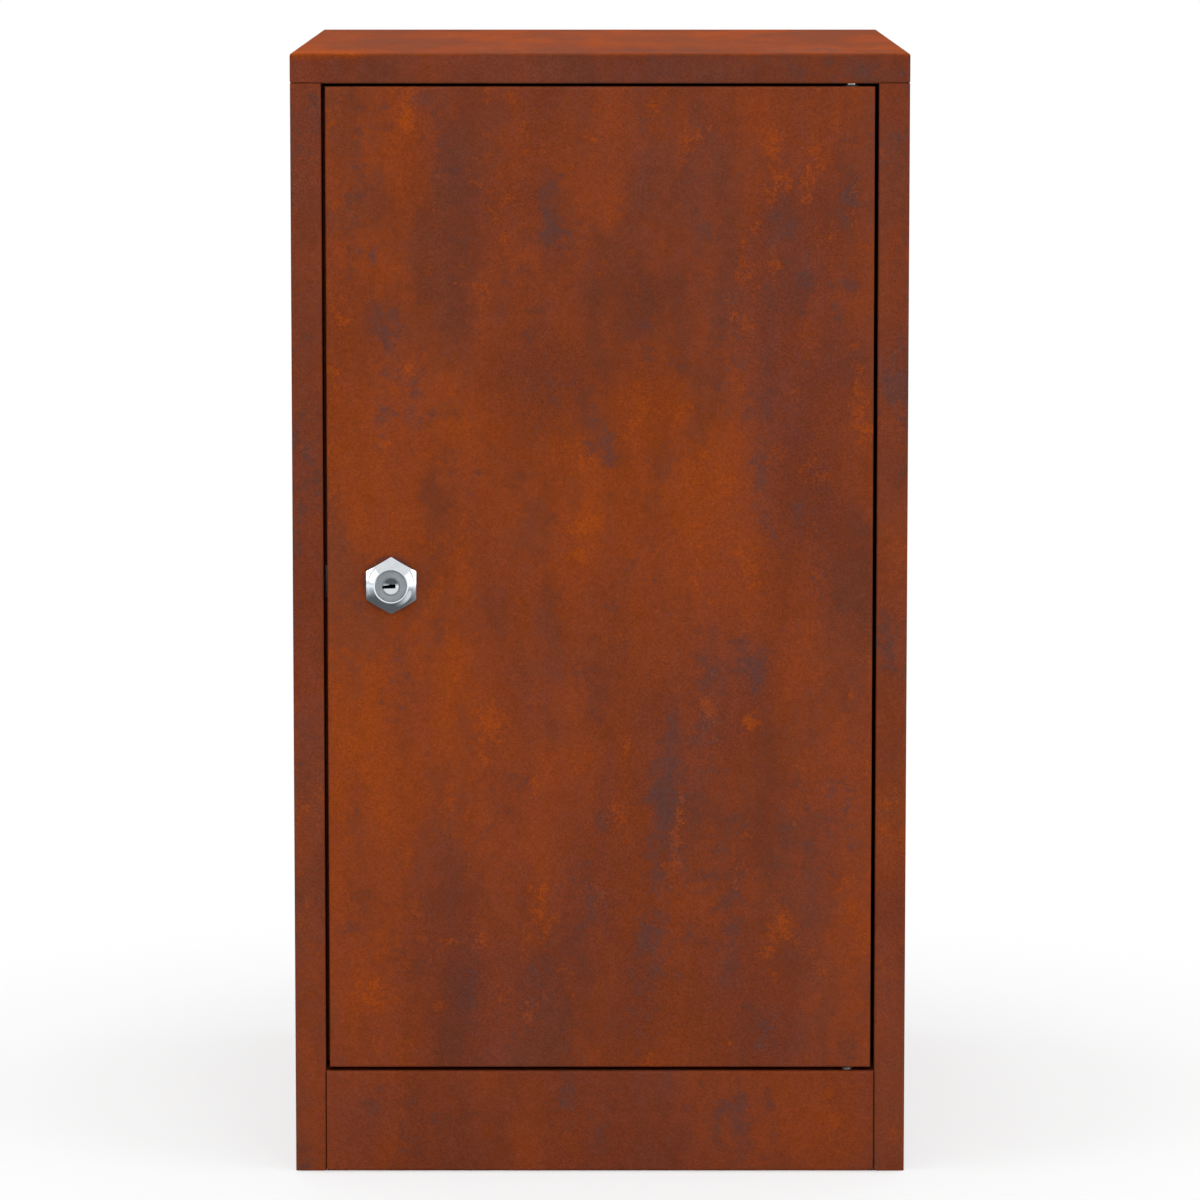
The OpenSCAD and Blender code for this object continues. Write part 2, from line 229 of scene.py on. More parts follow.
@dataclass(frozen=True)
class WeatheringSteel:
    """Bare weathering steel: a dense, matt oxide layer over cold-rolled sheet.

    The eye sees clouds of orange-brown and red-brown drawn out downwards by rain, with ragged
    patches of older purple-grey scale, small spots of fresh orange rust, and a fine grain.

    Attributes:
        name: the material's name.
        lean: moves the whole sheet towards orange, or below zero towards red-brown.
        contrast: strength of the clouds and patches, 1 on the door.
        shift: where in the pattern the sheet was cut, in metres.
        stains: the patches that are its own.
        drawn: the pattern's scale along X, Y and Z; a low number draws the patches out that way.
        falling: the same for the streaks, on top of drawn.
    """

    name: str
    lean: float = 0.0
    contrast: float = 1.0
    shift: Triple = (0.0, 0.0, 0.0)
    stains: tuple[Stain, ...] = ()
    drawn: Triple = (1.0, 1.0, 0.45)
    falling: Triple = (1.0, 1.0, 0.3)
    cloud_mm: float = 130.0
    patch_mm: float = 46.0
    streak_mm: float = 11.0
    mottle_mm: float = 10.0
    ragged_mm: float = 6.0
    # Real rust grain is finer than this; it is drawn as coarse as it needs to show.
    grain_mm: float = 0.8
    # From the older red-brown to the younger orange; green hardly changes.
    by_age: tuple[tuple[float, str], ...] = (
        (0.10, "#603933"),
        (0.30, "#70392a"),
        (0.44, "#7c3b23"),
        (0.54, "#843d1f"),
        (0.68, "#8e4019"),
        (0.90, "#a04813"),
    )
    old_brown: Layer = Layer("#64392a", 0.53, 0.58, 0.5)
    # A thin dark film in the hollows, which takes the same share of every colour.
    dark_film: Layer = Layer("#24150f", 0.34, 0.68, 0.24)
    grey_scale: Layer = Layer("#523b38", 0.57, 0.68, 0.62)
    fresh_rust: Layer = Layer("#9e4612", 0.59, 0.69, 0.6)
    pits: Layer = Layer("#48261e", 0.92, 1.12, 0.4)
    # Each grain of oxide is this much lighter or darker than the next, in the same hue.
    grain_light: float = 0.15
    roughness: Pair = (0.78, 0.94)
    # Loose oxide scatters light and has hardly any gloss.
    gloss: float = 0.02
    relief_mm: float = 0.25

    def material(self) -> Finish:
        """Builds the finish.

        Returns:
            The material.
        """
        material, tree, shader = blank_material(self.name)
        place = add(tree, "TexCoord").outputs["Object"]
        moved = add(tree, "Mapping", {"Vector": place, "Location": self.shift}).outputs[0]
        ragged = self.wander(tree, moved)
        runs = add(tree, "Mapping", {"Vector": ragged, "Scale": self.falling}).outputs[0]

        cloud = self.noise(tree, ragged, self.cloud_mm, 5.0, 0.6, (0.0, 0.0, 0.0))
        patch = self.noise(tree, ragged, self.patch_mm, 12.0, 0.72, (3.1, 1.7, 5.9))
        brown = self.noise(tree, ragged, self.patch_mm * 1.3, 12.0, 0.72, (6.3, 4.9, 2.8))
        scale = self.noise(tree, ragged, self.patch_mm, 12.0, 0.76, (7.7, 2.3, 1.1))
        fresh = self.noise(tree, ragged, self.patch_mm * 0.5, 12.0, 0.76, (1.9, 8.3, 4.2))
        film = self.noise(tree, ragged, self.patch_mm * 1.4, 12.0, 0.7, (5.2, 3.8, 7.4))
        mottle = self.noise(tree, moved, self.mottle_mm, 5.0, 0.66, (2.2, 5.1, 0.7))
        streak = self.noise(tree, runs, self.streak_mm, 8.0, 0.72, (8.1, 6.6, 3.3))
        cells = add(tree, "TexVoronoi", {"Vector": moved, "Scale": 1 / (self.grain_mm * MM)})
        grain = add(tree, "SeparateColor", {"Color": cells.outputs["Color"]}).outputs[0]

        part = self.contrast
        push = self.push(tree, place)
        mix = [(cloud, 0.7 * part), (patch, 0.6 * part), (streak, 0.3), (mottle, 0.38), (grain, 0.05)]
        tone = self.blend(tree, mix, 0.5 + self.lean, push["tone"])
        colour = add(tree, "ValToRGB", {"Fac": tone}, stops=self.by_age).outputs[0]
        # Each layer, what it follows, that value's average, the stains that count and its share.
        coats = (
            (self.old_brown, [(brown, 1.0), (patch, -0.3), (grain, 0.09)], 0.5 - self.lean, None, part),
            (self.dark_film, [(film, 1.0), (streak, 0.4), (mottle, 0.5)], 0.5, "film", 1.0),
            (
                self.grey_scale,
                [(scale, 1.0), (patch, -0.3), (streak, 0.35), (mottle, 0.5), (grain, 0.08)],
                0.5,
                "grey",
                1.0,
            ),
            (
                self.fresh_rust,
                [(fresh, 1.0), (patch, 0.4), (mottle, 0.5), (grain, 0.08)],
                0.5 + self.lean,
                "fresh",
                part,
            ),
            (self.pits, [(grain, 1.0), (mottle, 1.5)], 0.5, None, 1.0),
        )
        for layer, follows, average, kind, share in coats:
            value = self.blend(tree, follows, average, push.get(kind))
            colour = layer.over(tree, value, colour, share)
        span = {"Value": grain, "To Min": 1 - self.grain_light, "To Max": 1 + self.grain_light}
        light = add(tree, "MapRange", span).outputs[0]
        grained = add(tree, "VectorMath", {0: colour, "Scale": light}, operation="SCALE").outputs[0]

        low, high = self.roughness
        rise = {"Value": mottle, "From Min": 0.3, "From Max": 0.7, "To Min": low, "To Max": high}
        rough = add(tree, "MapRange", rise).outputs[0]
        relief = self.blend(tree, [(mottle, 0.9), (grain, 0.25)], 0.5, None)
        height = {"Height": relief, "Strength": 0.5, "Distance": self.relief_mm * MM}
        bump = add(tree, "Bump", height).outputs[0]
        feed(tree, shader, {"Base Color": grained, "Roughness": rough, "Normal": bump})
        shader.inputs["Specular IOR Level"].default_value = self.gloss
        return material

    def wander(self, tree: Tree, place: Socket) -> Socket:
        """Shakes the coordinates a little, so that patches get ragged edges, and draws them out.

        Args:
            tree: the material's tree.
            place: the coordinates.

        Returns:
            The shaken coordinates.
        """
        cloudy = {"Vector": place, "Scale": 1 / (self.ragged_mm * MM), "Detail": 5.0, "Roughness": 0.8}
        shake = add(tree, "TexNoise", cloudy).outputs[1]
        centred = add(tree, "VectorMath", {0: shake, 1: (0.5, 0.5, 0.5)}, operation="SUBTRACT").outputs[0]
        reach = (5.0 * self.ragged_mm * MM,) * 3
        sized = add(tree, "VectorMath", {0: centred, 1: reach}, operation="MULTIPLY").outputs[0]
        shaken = add(tree, "VectorMath", {0: place, 1: sized}, operation="ADD").outputs[0]
        return add(tree, "Mapping", {"Vector": shaken, "Scale": self.drawn}).outputs[0]

    def noise(
        self,
        tree: Tree,
        place: Socket,
        size_mm: float,
        detail: float,
        rough: float,
        away: Triple,
    ) -> Socket:
        """Adds one layer of cloudy noise, taken from its own far corner of the pattern.

        Args:
            tree: the material's tree.
            place: the coordinates.
            size_mm: the size of its largest blotches.
            detail: how many finer layers it holds.
            rough: how strong those are.
            away: how far off it is read.

        Returns:
            Its value, about 0.5 on average.
        """
        there = add(tree, "Mapping", {"Vector": place, "Location": away}).outputs[0]
        cloudy = {"Vector": there, "Scale": 1 / (size_mm * MM), "Detail": detail, "Roughness": rough}
        return add(tree, "TexNoise", cloudy).outputs[0]

    def blend(
        self,
        tree: Tree,
        layers: list[tuple[Socket, float]],
        middle: float,
        push: Socket | None,
    ) -> Socket:
        """Adds up noise layers, each counted from its average of 0.5.

        Args:
            tree: the material's tree.
            layers: each layer and its weight.
            middle: the value where every layer is at its average.
            push: a further value to add, if any.

        Returns:
            The sum.
        """
        total = middle - 0.5 * sum(weight for _, weight in layers)
        for value, weight in layers:
            total = add(tree, "Math", {0: value, 1: weight, 2: total}, operation="MULTIPLY_ADD").outputs[0]
        if push is not None:
            total = add(tree, "Math", {0: total, 1: push}, operation="ADD").outputs[0]
        return total

    def push(self, tree: Tree, place: Socket) -> dict[str, Socket | None]:
        """Adds up what the stains do.

        Args:
            tree: the material's tree.
            place: Object coordinates.

        Returns:
            The sum for each of them, or None where no stain has any.
        """
        sums: dict[str, Socket | None] = dict.fromkeys(("tone", "grey", "fresh", "film"))
        for stain in self.stains:
            near = stain.nearness(tree, place)
            for kind in sums:
                weight = getattr(stain, kind)
                if weight:
                    total = {0: near, 1: weight, 2: sums[kind] or 0.0}
                    sums[kind] = add(tree, "Math", total, operation="MULTIPLY_ADD").outputs[0]
        return sums


@dataclass(frozen=True)
class PlatedMetal:
    """Plated metal: a bare metal shine whose roughness and shade drift a little.

    Bright chrome mirrors its surroundings; satin nickel is brushed in rings and spreads them wide;
    zinc is dulled in patches by its white bloom.
    """

    name: str
    colour: str
    dull_colour: str
    roughness: Pair
    drift_mm: float = 9.0
    grain_mm: float = 0.5
    grain_depth_mm: float = 0.004
    ring_centre: Triple | None = None
    ring_mm: float = 0.7
    ring_depth_mm: float = 0.006
    patches: tuple[tuple[Stain, str, float], ...] = ()

    def material(self) -> Finish:
        """Builds the finish.

        Returns:
            The material.
        """
        material, tree, shader = blank_material(self.name)
        place = add(tree, "TexCoord").outputs["Object"]
        cloudy = {"Vector": place, "Scale": 1 / (self.drift_mm * MM), "Detail": 6.0, "Roughness": 0.6}
        drift = add(tree, "TexNoise", cloudy).outputs[0]
        start, stop = 0.35, 0.68
        shades = [(start, self.colour), (stop, self.dull_colour)]
        shade = add(tree, "ValToRGB", {"Fac": drift}, stops=shades).outputs[0]
        low, high = self.roughness
        rise = {"Value": drift, "From Min": start, "From Max": stop, "To Min": low, "To Max": high}
        rough = add(tree, "MapRange", rise).outputs[0]
        for where, colour, roughness in self.patches:
            near = where.nearness(tree, place)
            shade = add(tree, "Mix", {0: near, 6: shade, 7: linear(colour)}, data_type="RGBA").outputs[2]
            rough = add(tree, "MapRange", {"Value": near, "To Min": rough, "To Max": roughness}).outputs[0]
        relief, depth = self.relief(tree, place)
        bump = add(tree, "Bump", {"Height": relief, "Strength": 0.6, "Distance": depth * MM}).outputs[0]
        feed(tree, shader, {"Base Color": shade, "Roughness": rough, "Normal": bump})
        shader.inputs["Metallic"].default_value = 1.0
        return material

    def relief(self, tree: Tree, place: Socket) -> tuple[Socket, float]:
        """Works out the fine relief: a grain, or rings, where the height is the sine of the radius.

        Args:
            tree: the material's tree.
            place: Object coordinates.

        Returns:
            Its height, and its depth in mm.
        """
        if self.ring_centre is None:
            fine = {"Vector": place, "Scale": 1 / (self.grain_mm * MM), "Detail": 2.0}
            return add(tree, "TexNoise", fine).outputs[0], self.grain_depth_mm
        start = tuple(-c for c in self.ring_centre)
        spot = add(tree, "Mapping", {"Vector": place, "Location": start}).outputs[0]
        flat = add(tree, "VectorMath", {0: spot, 1: (1.0, 0.0, 1.0)}, operation="MULTIPLY").outputs[0]
        far = add(tree, "VectorMath", {0: flat}, operation="LENGTH").outputs["Value"]
        per_metre = math.tau / (self.ring_mm * MM)
        turns = add(tree, "Math", {0: far, 1: per_metre}, operation="MULTIPLY").outputs[0]
        return add(tree, "Math", {0: turns}, operation="SINE").outputs[0], self.ring_depth_mm


@dataclass(frozen=True)
class MouldedPolymer:
    """Injection-moulded nylon or rubber: near-black, with a faint moulded grain and a soft sheen."""

    name: str
    colour: str
    worn_colour: str
    roughness: float
    grain_mm: float = 0.6
    grain_depth_mm: float = 0.05

    def material(self) -> Finish:
        """Builds the finish.

        Returns:
            The material.
        """
        material, tree, shader = blank_material(self.name)
        place = add(tree, "TexCoord").outputs["Object"]
        fine = 1 / (self.grain_mm * MM)
        grain = add(tree, "TexNoise", {"Vector": place, "Scale": fine, "Detail": 3.0}).outputs[0]
        wear = add(tree, "TexNoise", {"Vector": place, "Scale": fine / 8, "Detail": 4.0}).outputs[0]
        shades = [(0.4, self.colour), (0.75, self.worn_colour)]
        shade = add(tree, "ValToRGB", {"Fac": wear}, stops=shades).outputs[0]
        span = {"Value": wear, "To Min": self.roughness - 0.1, "To Max": self.roughness + 0.1}
        rough = add(tree, "MapRange", span).outputs[0]
        height = {"Height": grain, "Strength": 0.4, "Distance": self.grain_depth_mm * MM}
        bump = add(tree, "Bump", height).outputs[0]
        feed(tree, shader, {"Base Color": shade, "Roughness": rough, "Normal": bump})
        return material


# ---- Surfaces ----


class Way(Enum):
    """Which way a piece's own +Z points in the frame. Its columns are the piece's X, Y and Z."""

    UP = ((1, 0, 0), (0, 1, 0), (0, 0, 1))
    DOWN = ((1, 0, 0), (0, -1, 0), (0, 0, -1))
    FRONT = ((1, 0, 0), (0, 0, 1), (0, -1, 0))
    BACK = ((1, 0, 0), (0, 0, -1), (0, 1, 0))

    def place(self, points: np.ndarray, origin: Vector) -> np.ndarray:
        """Turns points from the piece's own axes to the frame's, and moves them to its origin.

        Args:
            points: an array whose last axis is x, y and z.
            origin: where the piece's own origin lies in the frame.

        Returns:
            The points in the frame.
        """
        return points @ np.array(self.value, dtype=float) + np.array(origin)


def put_mesh(name: str, points: np.ndarray, faces: list[list[int]], crease_deg: float) -> Piece:
    """Puts points and faces into a new object at the frame's origin, with its faces turned outwards.

    The signed volume is the sum over each face's fan of triangles of a . (b x c) / 6. Where it is
    negative the faces look inwards, and every one is reversed.

    Args:
        name: the piece's name.
        points: an array of positions in the frame.
        faces: the corner numbers of each face.
        crease_deg: edges sharper than this stay sharp.

    Returns:
        The new object.
    """
    volume = 0.0
    for size in (3, 4):
        part = np.array([f for f in faces if len(f) == size], dtype=int)
        for k in range(1, size - 1) if len(part) else ():
            a, b, c = points[part[:, 0]], points[part[:, k]], points[part[:, k + 1]]
            volume += np.einsum("ij,ij->i", a - points[0], np.cross(b - points[0], c - points[0])).sum()
    if volume < 0:
        faces = [face[::-1] for face in faces]
    mesh = bpy.data.meshes.new(name)
    mesh.from_pydata(points.tolist(), [], faces)
    mesh.shade_smooth()
    mesh.set_sharp_from_angle(angle=math.radians(crease_deg))
    piece = bpy.data.objects.new(name, mesh)
    bpy.context.scene.collection.objects.link(piece)
    return piece


def ring_faces(rows: int, columns: int, joined: bool, first: int = 0) -> list[list[int]]:
    """Lists the faces of a stack of closed rings.

    Args:
        rows: how many rings there are.
        columns: how many points each has.
        joined: True if the last ring joins the first, and False if each end is closed by a fan
            round a middle point, whose numbers follow the rings' own.
        first: the number of the first point.

    Returns:
        The corner numbers of each face.
    """
    here = np.arange(rows * columns).reshape(rows, columns) + first
    after = np.roll(here, -1, axis=1)
    if joined:
        quads = np.stack([here, after, np.roll(after, -1, axis=0), np.roll(here, -1, axis=0)], axis=-1)
        return quads.reshape(-1, 4).tolist()
    quads = np.stack([here[:-1], after[:-1], after[1:], here[1:]], axis=-1).reshape(-1, 4)
    middle = np.full(columns, first + rows * columns)
    low = np.stack([after[0], here[0], middle], axis=-1)
    high = np.stack([here[-1], after[-1], middle + 1], axis=-1)
    return quads.tolist() + low.tolist() + high.tolist()


def stack_rings(name: str, rings: np.ndarray, joined: bool = False, crease_deg: float = 32.0) -> Piece:
    """Makes one or more closed surfaces from stacks of closed rings.

    Args:
        name: the piece's name.
        rings: positions in the frame, as (rows, columns, 3) or, for copies, (copies, rows, columns, 3).
        joined: True if the last ring joins the first; otherwise a fan closes each end.
        crease_deg: edges sharper than this stay sharp.

    Returns:
        The new object.
    """
    copies = rings if rings.ndim == 4 else rings[None]
    points, faces = [], []
    for copy in copies:
        rows, columns = copy.shape[:2]
        faces += ring_faces(rows, columns, joined, sum(len(p) for p in points))
        points.append(copy.reshape(-1, 3))
        if not joined:
            points.append(np.array([copy[0].mean(axis=0), copy[-1].mean(axis=0)]))
    return put_mesh(name, np.concatenate(points), faces, crease_deg)


def around(columns: int) -> np.ndarray:
    """Gives evenly spaced angles once round, in radians."""
    return np.linspace(0, math.tau, columns, endpoint=False)


def rings_at(rows: list[tuple], angle: np.ndarray) -> np.ndarray:
    """Stacks rings: the point at (angle, s) is r(angle, s) out from the Z axis and z(angle, s) along it.

    Args:
        rows: radius and height of each ring in mm, each one number or one for each angle.
        angle: the directions of its points.

    Returns:
        Rings in metres, as (rows, columns, 3).
    """
    flat = np.zeros_like(angle)
    return np.array([np.column_stack([at_angles(r + flat, angle), z + flat]) for r, z in rows]) * MM


def at_angles(radius: np.ndarray, angle: np.ndarray) -> np.ndarray:
    """Gives the plane points at each radius and angle."""
    return np.stack([radius * np.cos(angle), radius * np.sin(angle)], axis=-1)


def polygon_radius(angle: np.ndarray, sides: int, flat: float, turn: float = 0.0) -> np.ndarray:
    """Distance from the middle of a regular polygon to its edge.

    It is flat / cos(angle from the middle of the nearest side).

    Args:
        angle: the directions looked in.
        sides: how many sides it has.
        flat: distance from the middle to a side.
        turn: how far the first side's middle is turned from the X axis.

    Returns:
        One distance for each angle.
    """
    slice_angle = math.tau / sides
    off = np.mod(angle - turn + slice_angle / 2, slice_angle) - slice_angle / 2
    return flat / np.cos(off)


def outline_radius(angle: np.ndarray, corners: Profile) -> np.ndarray:
    """Distance from the origin to a closed outline that every ray from the origin crosses once.

    For a ray d and an edge from a along e, the distance is cross(a, e) / cross(d, e), where the
    crossing lies between the edge's ends.

    Args:
        angle: the directions looked in.
        corners: the outline's corners.

    Returns:
        One distance for each angle.
    """
    start = np.array(corners, dtype=float)
    edge = np.roll(start, -1, axis=0) - start
    ray = at_angles(np.ones_like(angle), angle)[:, None]
    with np.errstate(divide="ignore", invalid="ignore"):
        bottom = ray[..., 0] * edge[:, 1] - ray[..., 1] * edge[:, 0]
        far = (start[:, 0] * edge[:, 1] - start[:, 1] * edge[:, 0]) / bottom
        along = (start[:, 0] * ray[..., 1] - start[:, 1] * ray[..., 0]) / bottom
    hit = (far > 0) & (along >= -1e-9) & (along <= 1 + 1e-9)
    return np.where(hit, far, np.inf).min(axis=1)


def plate(outer: np.ndarray, inner: np.ndarray, low: float, high: float, edge: float) -> np.ndarray:
    """Carries a rectangle with soft edges round between an inner and an outer outline.

    Each ring is one corner point of the section: the inner wall, the upper face, the outer wall and
    the lower face in turn. Near a corner it steps in by edge along the line from inner to outer.

    Args:
        outer: (columns, 2) points of the outer outline, in mm.
        inner: the inner outline's points, in the same directions.
        low: height of the lower face, in mm.
        high: height of the upper face, in mm.
        edge: size of the softened edges, in mm.

    Returns:
        Rings in metres, to be joined last to first.
    """
    span = outer - inner
    inward = span / np.linalg.norm(span, axis=1, keepdims=True)
    quarter = np.linspace(0, math.pi / 2, 4)
    dip, rise = edge * (1 - np.cos(quarter)), edge * np.sin(quarter)
    section = [(inner, +d, high - edge + r) for d, r in zip(dip, rise)]
    section += [(outer, -d, high - edge + r) for d, r in zip(dip[::-1], rise[::-1])]
    section += [(outer, -d, low + edge - r) for d, r in zip(dip, rise)]
    section += [(inner, +d, low + edge - r) for d, r in zip(dip[::-1], rise[::-1])]
    rings = [np.column_stack([base + step * inward, np.full(len(base), z)]) for base, step, z in section]
    return np.array(rings) * MM


def cap_height(radius: np.ndarray, rim_r: float, rim_h: float) -> np.ndarray:
    """Gives the height of a ball cap, rim_h high over a rim of radius rim_r, at each radius."""
    ball = (rim_r**2 + rim_h**2) / (2 * rim_h)
    return rim_h - ball + np.sqrt(ball**2 - radius**2)


def arc(centre: Pair, radius: float, start: float, stop: float, steps: int = 8) -> Profile:
    """Lists points along an arc, with its angles in degrees."""
    turn = np.radians(np.linspace(start, stop, steps))
    return [(centre[0] + radius * math.cos(t), centre[1] + radius * math.sin(t)) for t in turn]


def dress(piece: Piece, material: Finish, body: str, slot: str, *nodes: str) -> None:
    """Gives a new piece its finish and its body, and hides the CAD nodes that it stands for.

    Args:
        piece: the new piece.
        material: its finish.
        body: the CAD body that it rides on.
        slot: the record's name of its finish; not used.
        nodes: the CAD nodes that it replaces.
    """
    piece.data.materials.append(material)
    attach(piece, body)
    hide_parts(*nodes)
    log.info("%s rides on %s: %d faces", piece.name, body, len(piece.data.polygons))


def middle(node: str) -> Vector:
    """Gives the middle of a CAD node's box."""
    low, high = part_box(node)
    return (Vector(low) + Vector(high)) / 2


# ---- Sub-assemblies ----


@dataclass
class Sheets:
    """The folded sheets, which keep their CAD shape. Each has its own stretch of the rust pattern."""

    # Middle x and z, half-width and half-height in mm, then tone, grey scale, fresh rust and film.
    door_patches: Rows = (
        (-90, 340, 110, 340, 0.08, -0.03, 0.0, -0.03),
        (40, 430, 130, 110, 0.05, -0.03),
        (80, 230, 110, 170, -0.05, 0.03, 0.0, 0.03),
        (20, 110, 170, 70, -0.05, 0.01, 0.0, 0.02),
        (130, 560, 60, 130, -0.05),
        (20, 551, 48, 26, -0.05, 0.0, 0.0, 0.14),
        (-52, 609, 36, 18, -0.04, 0.0, 0.0, 0.1),
        (-30, 497, 62, 38, -0.06, 0.0, 0.0, 0.1),
        (-118, 660, 14, 24, 0.05, 0.0, 0.12),
        (122, 625, 18, 42, 0.0, 0.0, 0.06),
        (158, 620, 9, 42, 0.0, 0.0, 0.08),
        (-117, 502, 9, 12, 0.0, 0.0, 0.14),
        (-133, 458, 9, 9, 0.0, 0.0, 0.14),
        (-6, 408, 24, 10, 0.04, 0.0, 0.13),
        (92, 283, 12, 12, 0.0, 0.0, 0.14),
        (51, 233, 9, 34, 0.04, 0.0, 0.15),
        (8, 226, 12, 22, 0.03, 0.0, 0.14),
        (79, 190, 12, 27, 0.04, 0.0, 0.09),
        (-34, 262, 28, 24, 0.05, 0.0, 0.09),
        (-8, 106, 34, 24, 0.04, 0.0, 0.07),
        (-92, 309, 26, 42, 0.08, 0.0, 0.03),
        (-136, 245, 26, 32, 0.08),
        (-84, 208, 26, 32, 0.08),
        (-146, 112, 24, 22, 0.07, 0.0, 0.14),
        (-113, 668, 12, 9, 0.0, 0.12),
        (-33, 604, 12, 50, -0.03, 0.12),
        (108, 597, 26, 34, -0.03, 0.09),
        (62, 590, 12, 22, 0.0, 0.1),
        (-138, 574, 9, 14, 0.0, 0.14),
        (-112, 480, 14, 45, 0.0, 0.1),
        (5, 450, 13, 32, 0.0, 0.1),
        (74, 478, 18, 42, 0.0, 0.07),
        (118, 450, 34, 95, -0.04, 0.07, 0.0, 0.05),
        (92, 320, 18, 28, 0.0, 0.13),
        (38, 250, 22, 50, 0.0, 0.12),
        (2, 222, 12, 24, 0.0, 0.1),
        (107, 216, 38, 62, -0.06, 0.11, 0.0, 0.09),
        (30, 140, 26, 34, -0.03, 0.12, 0.0, 0.04),
        (-86, 118, 22, 42, -0.06, 0.11, 0.0, 0.09),
        (78, 130, 16, 38, 0.0, 0.11),
        (122, 142, 32, 50, -0.05, 0.05),
        (123, 80, 52, 26, -0.06, 0.03),
    )
    plinth_patches: Rows = (
        (-144, 36, 44, 44, -0.1, 0.1, 0.0, 0.04),
        (-60, 30, 100, 60, 0.05),
        (-50, 40, 15, 24, 0.0, 0.07),
        (-8, 26, 30, 30, 0.04, 0.0, 0.1),
        (40, 36, 20, 28, 0.0, 0.06),
        (82, 32, 24, 26, 0.0, 0.07),
        (140, 28, 46, 40, 0.07, -0.04, 0.1),
    )
    left_patches: Rows = (
        (-180, 650, 30, 50, -0.03, 0.09),
        (-184, 612, 12, 26, 0.0, 0.0, 0.12),
        (-180, 560, 30, 40, 0.03, 0.0, 0.0, -0.08),
        (-180, 425, 30, 90, -0.06, 0.12),
        (-180, 250, 30, 70, 0.06, 0.0, 0.1, -0.14),
        (-180, 150, 30, 90, 0.07, -0.03, 0.04, -0.1),
        (-180, 40, 30, 60, -0.04, 0.04),
    )
    right_patches: Rows = (
        (182, 650, 30, 50, -0.03, 0.07),
        (184, 495, 30, 50, -0.08, 0.17),
        (182, 410, 30, 50, 0.05, 0.0, 0.0, -0.08),
        (182, 320, 30, 34, 0.0, 0.11),
        (182, 226, 30, 66, 0.08, -0.05, 0.1, -0.14),
        (182, 130, 30, 60, 0.05, 0.0, 0.06, -0.14),
        (182, 50, 30, 90, 0.12, -0.08, 0.06, -0.2),
    )
    # The first row paints the lid's top more orange and lighter than its skirt, as light from above, and the
    # second paints a highlight near the front fold's left end; the rest are the rust's own patches.
    lid_stains_and_painted_light: tuple[Stain, ...] = (
        # Painted light: the whole top more orange and lighter, as lit from above, with a thicker dark film.
        Stain((0.0, 0.0, 0.699), (0.6, 0.6, 0.006), 0.22, film=0.24, full=0.5),
        # Painted highlight near the front fold, at its left end.
        Stain((-0.175, -0.225, 0.697), (0.075, 0.06, 0.006), 0.18, 0.0, 0.06, full=0.3),
        Stain((0.19, -0.12, 0.699), (0.08, 0.14, 0.006), 0.14),
        Stain((-0.2, -0.1, 0.699), (0.09, 0.2, 0.006), 0.12),
        Stain((0.04, -0.16, 0.699), (0.2, 0.05, 0.006), -0.1, 0.06),
        Stain((0.02, 0.12, 0.699), (0.1, 0.12, 0.006), 0.08),
        Stain((0.19, -0.224, 0.686), (0.08, 0.04, 0.014), -0.04, 0.1),
    )
    # On the lid the water runs to the front fold instead of down.
    lid_drawn: Triple = (1.0, 0.3, 0.45)
    # Painted shade: the rust round the collar's rim is painted darker, a little below it and to its left.
    collar_shade_r: float = 18.6
    collar_shade_off: Pair = (-1.0, 1.2)
    door_depth: float = 0.3
    front_depth: float = 0.05

    def stains(self, node: str, rows: Rows, depth: float) -> tuple[Stain, ...]:
        """Turns a sheet's patches into stains on its front face.

        Args:
            node: the sheet.
            rows: its patches.
            depth: how far behind that face they reach, in metres.

        Returns:
            The stains.
        """
        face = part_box(node)[0][1]
        return tuple(
            Stain((x * MM, face, z * MM), (wide * MM, depth, high * MM), *push)
            for x, z, wide, high, *push in rows
        )

    def collar_shade(self) -> Stain:
        """Makes the ring of painted shade round the lock: the rust there is painted darker.

        Returns:
            The stain.
        """
        lock = middle("lock_barrel")
        across, up = self.collar_shade_off
        centre = (lock.x + across * MM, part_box("door_panel")[0][1], lock.z + up * MM)
        # Painted shade: the tone is pulled towards brown in a ring round the collar.
        return Stain(centre, (self.collar_shade_r * MM, self.door_depth, self.collar_shade_r * MM), -0.4, full=0.8)

    def finishes(self) -> dict[str, WeatheringSteel]:
        """Names each sheet's own finish.

        Returns:
            The finish of each CAD node.
        """
        door = self.stains("door_panel", self.door_patches, self.door_depth)
        left = self.stains("side_panel_left", self.left_patches, self.front_depth)
        right = self.stains("side_panel_right", self.right_patches, self.front_depth)
        plinth = self.stains("floor_plinth", self.plinth_patches, self.front_depth)
        steel = WeatheringSteel
        return {
            "door_panel": steel("weathered_door", stains=(*door, self.collar_shade())),
            "door_stiffener": steel("weathered_hat_section", lean=-0.05, shift=(0.4, 0.2, 0.1)),
            "side_panel_left": steel("weathered_left_side", -0.03, 0.8, (1.3, 0.0, 0.2), left),
            "side_panel_right": steel("weathered_right_side", -0.03, 0.8, (2.1, 0.4, 0.7), right),
            "top_cap": steel("weathered_lid", -0.06, 0.9, (3.2, 0.9, 1.6), self.lid_stains_and_painted_light, self.lid_drawn),
            "floor_plinth": steel("weathered_plinth", -0.03, 0.6, (4.5, 1.4, 2.3), plinth),
            "back_panel": steel("weathered_back", lean=-0.02, shift=(5.4, 2.2, 3.1)),
        }

    def build(self) -> None:
        """Dresses each folded sheet."""
        for node, finish in self.finishes().items():
            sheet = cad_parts[node]
            sheet.data.materials.clear()
            sheet.data.materials.append(finish.material())
            log.info("%s dressed as %s", node, finish.name)


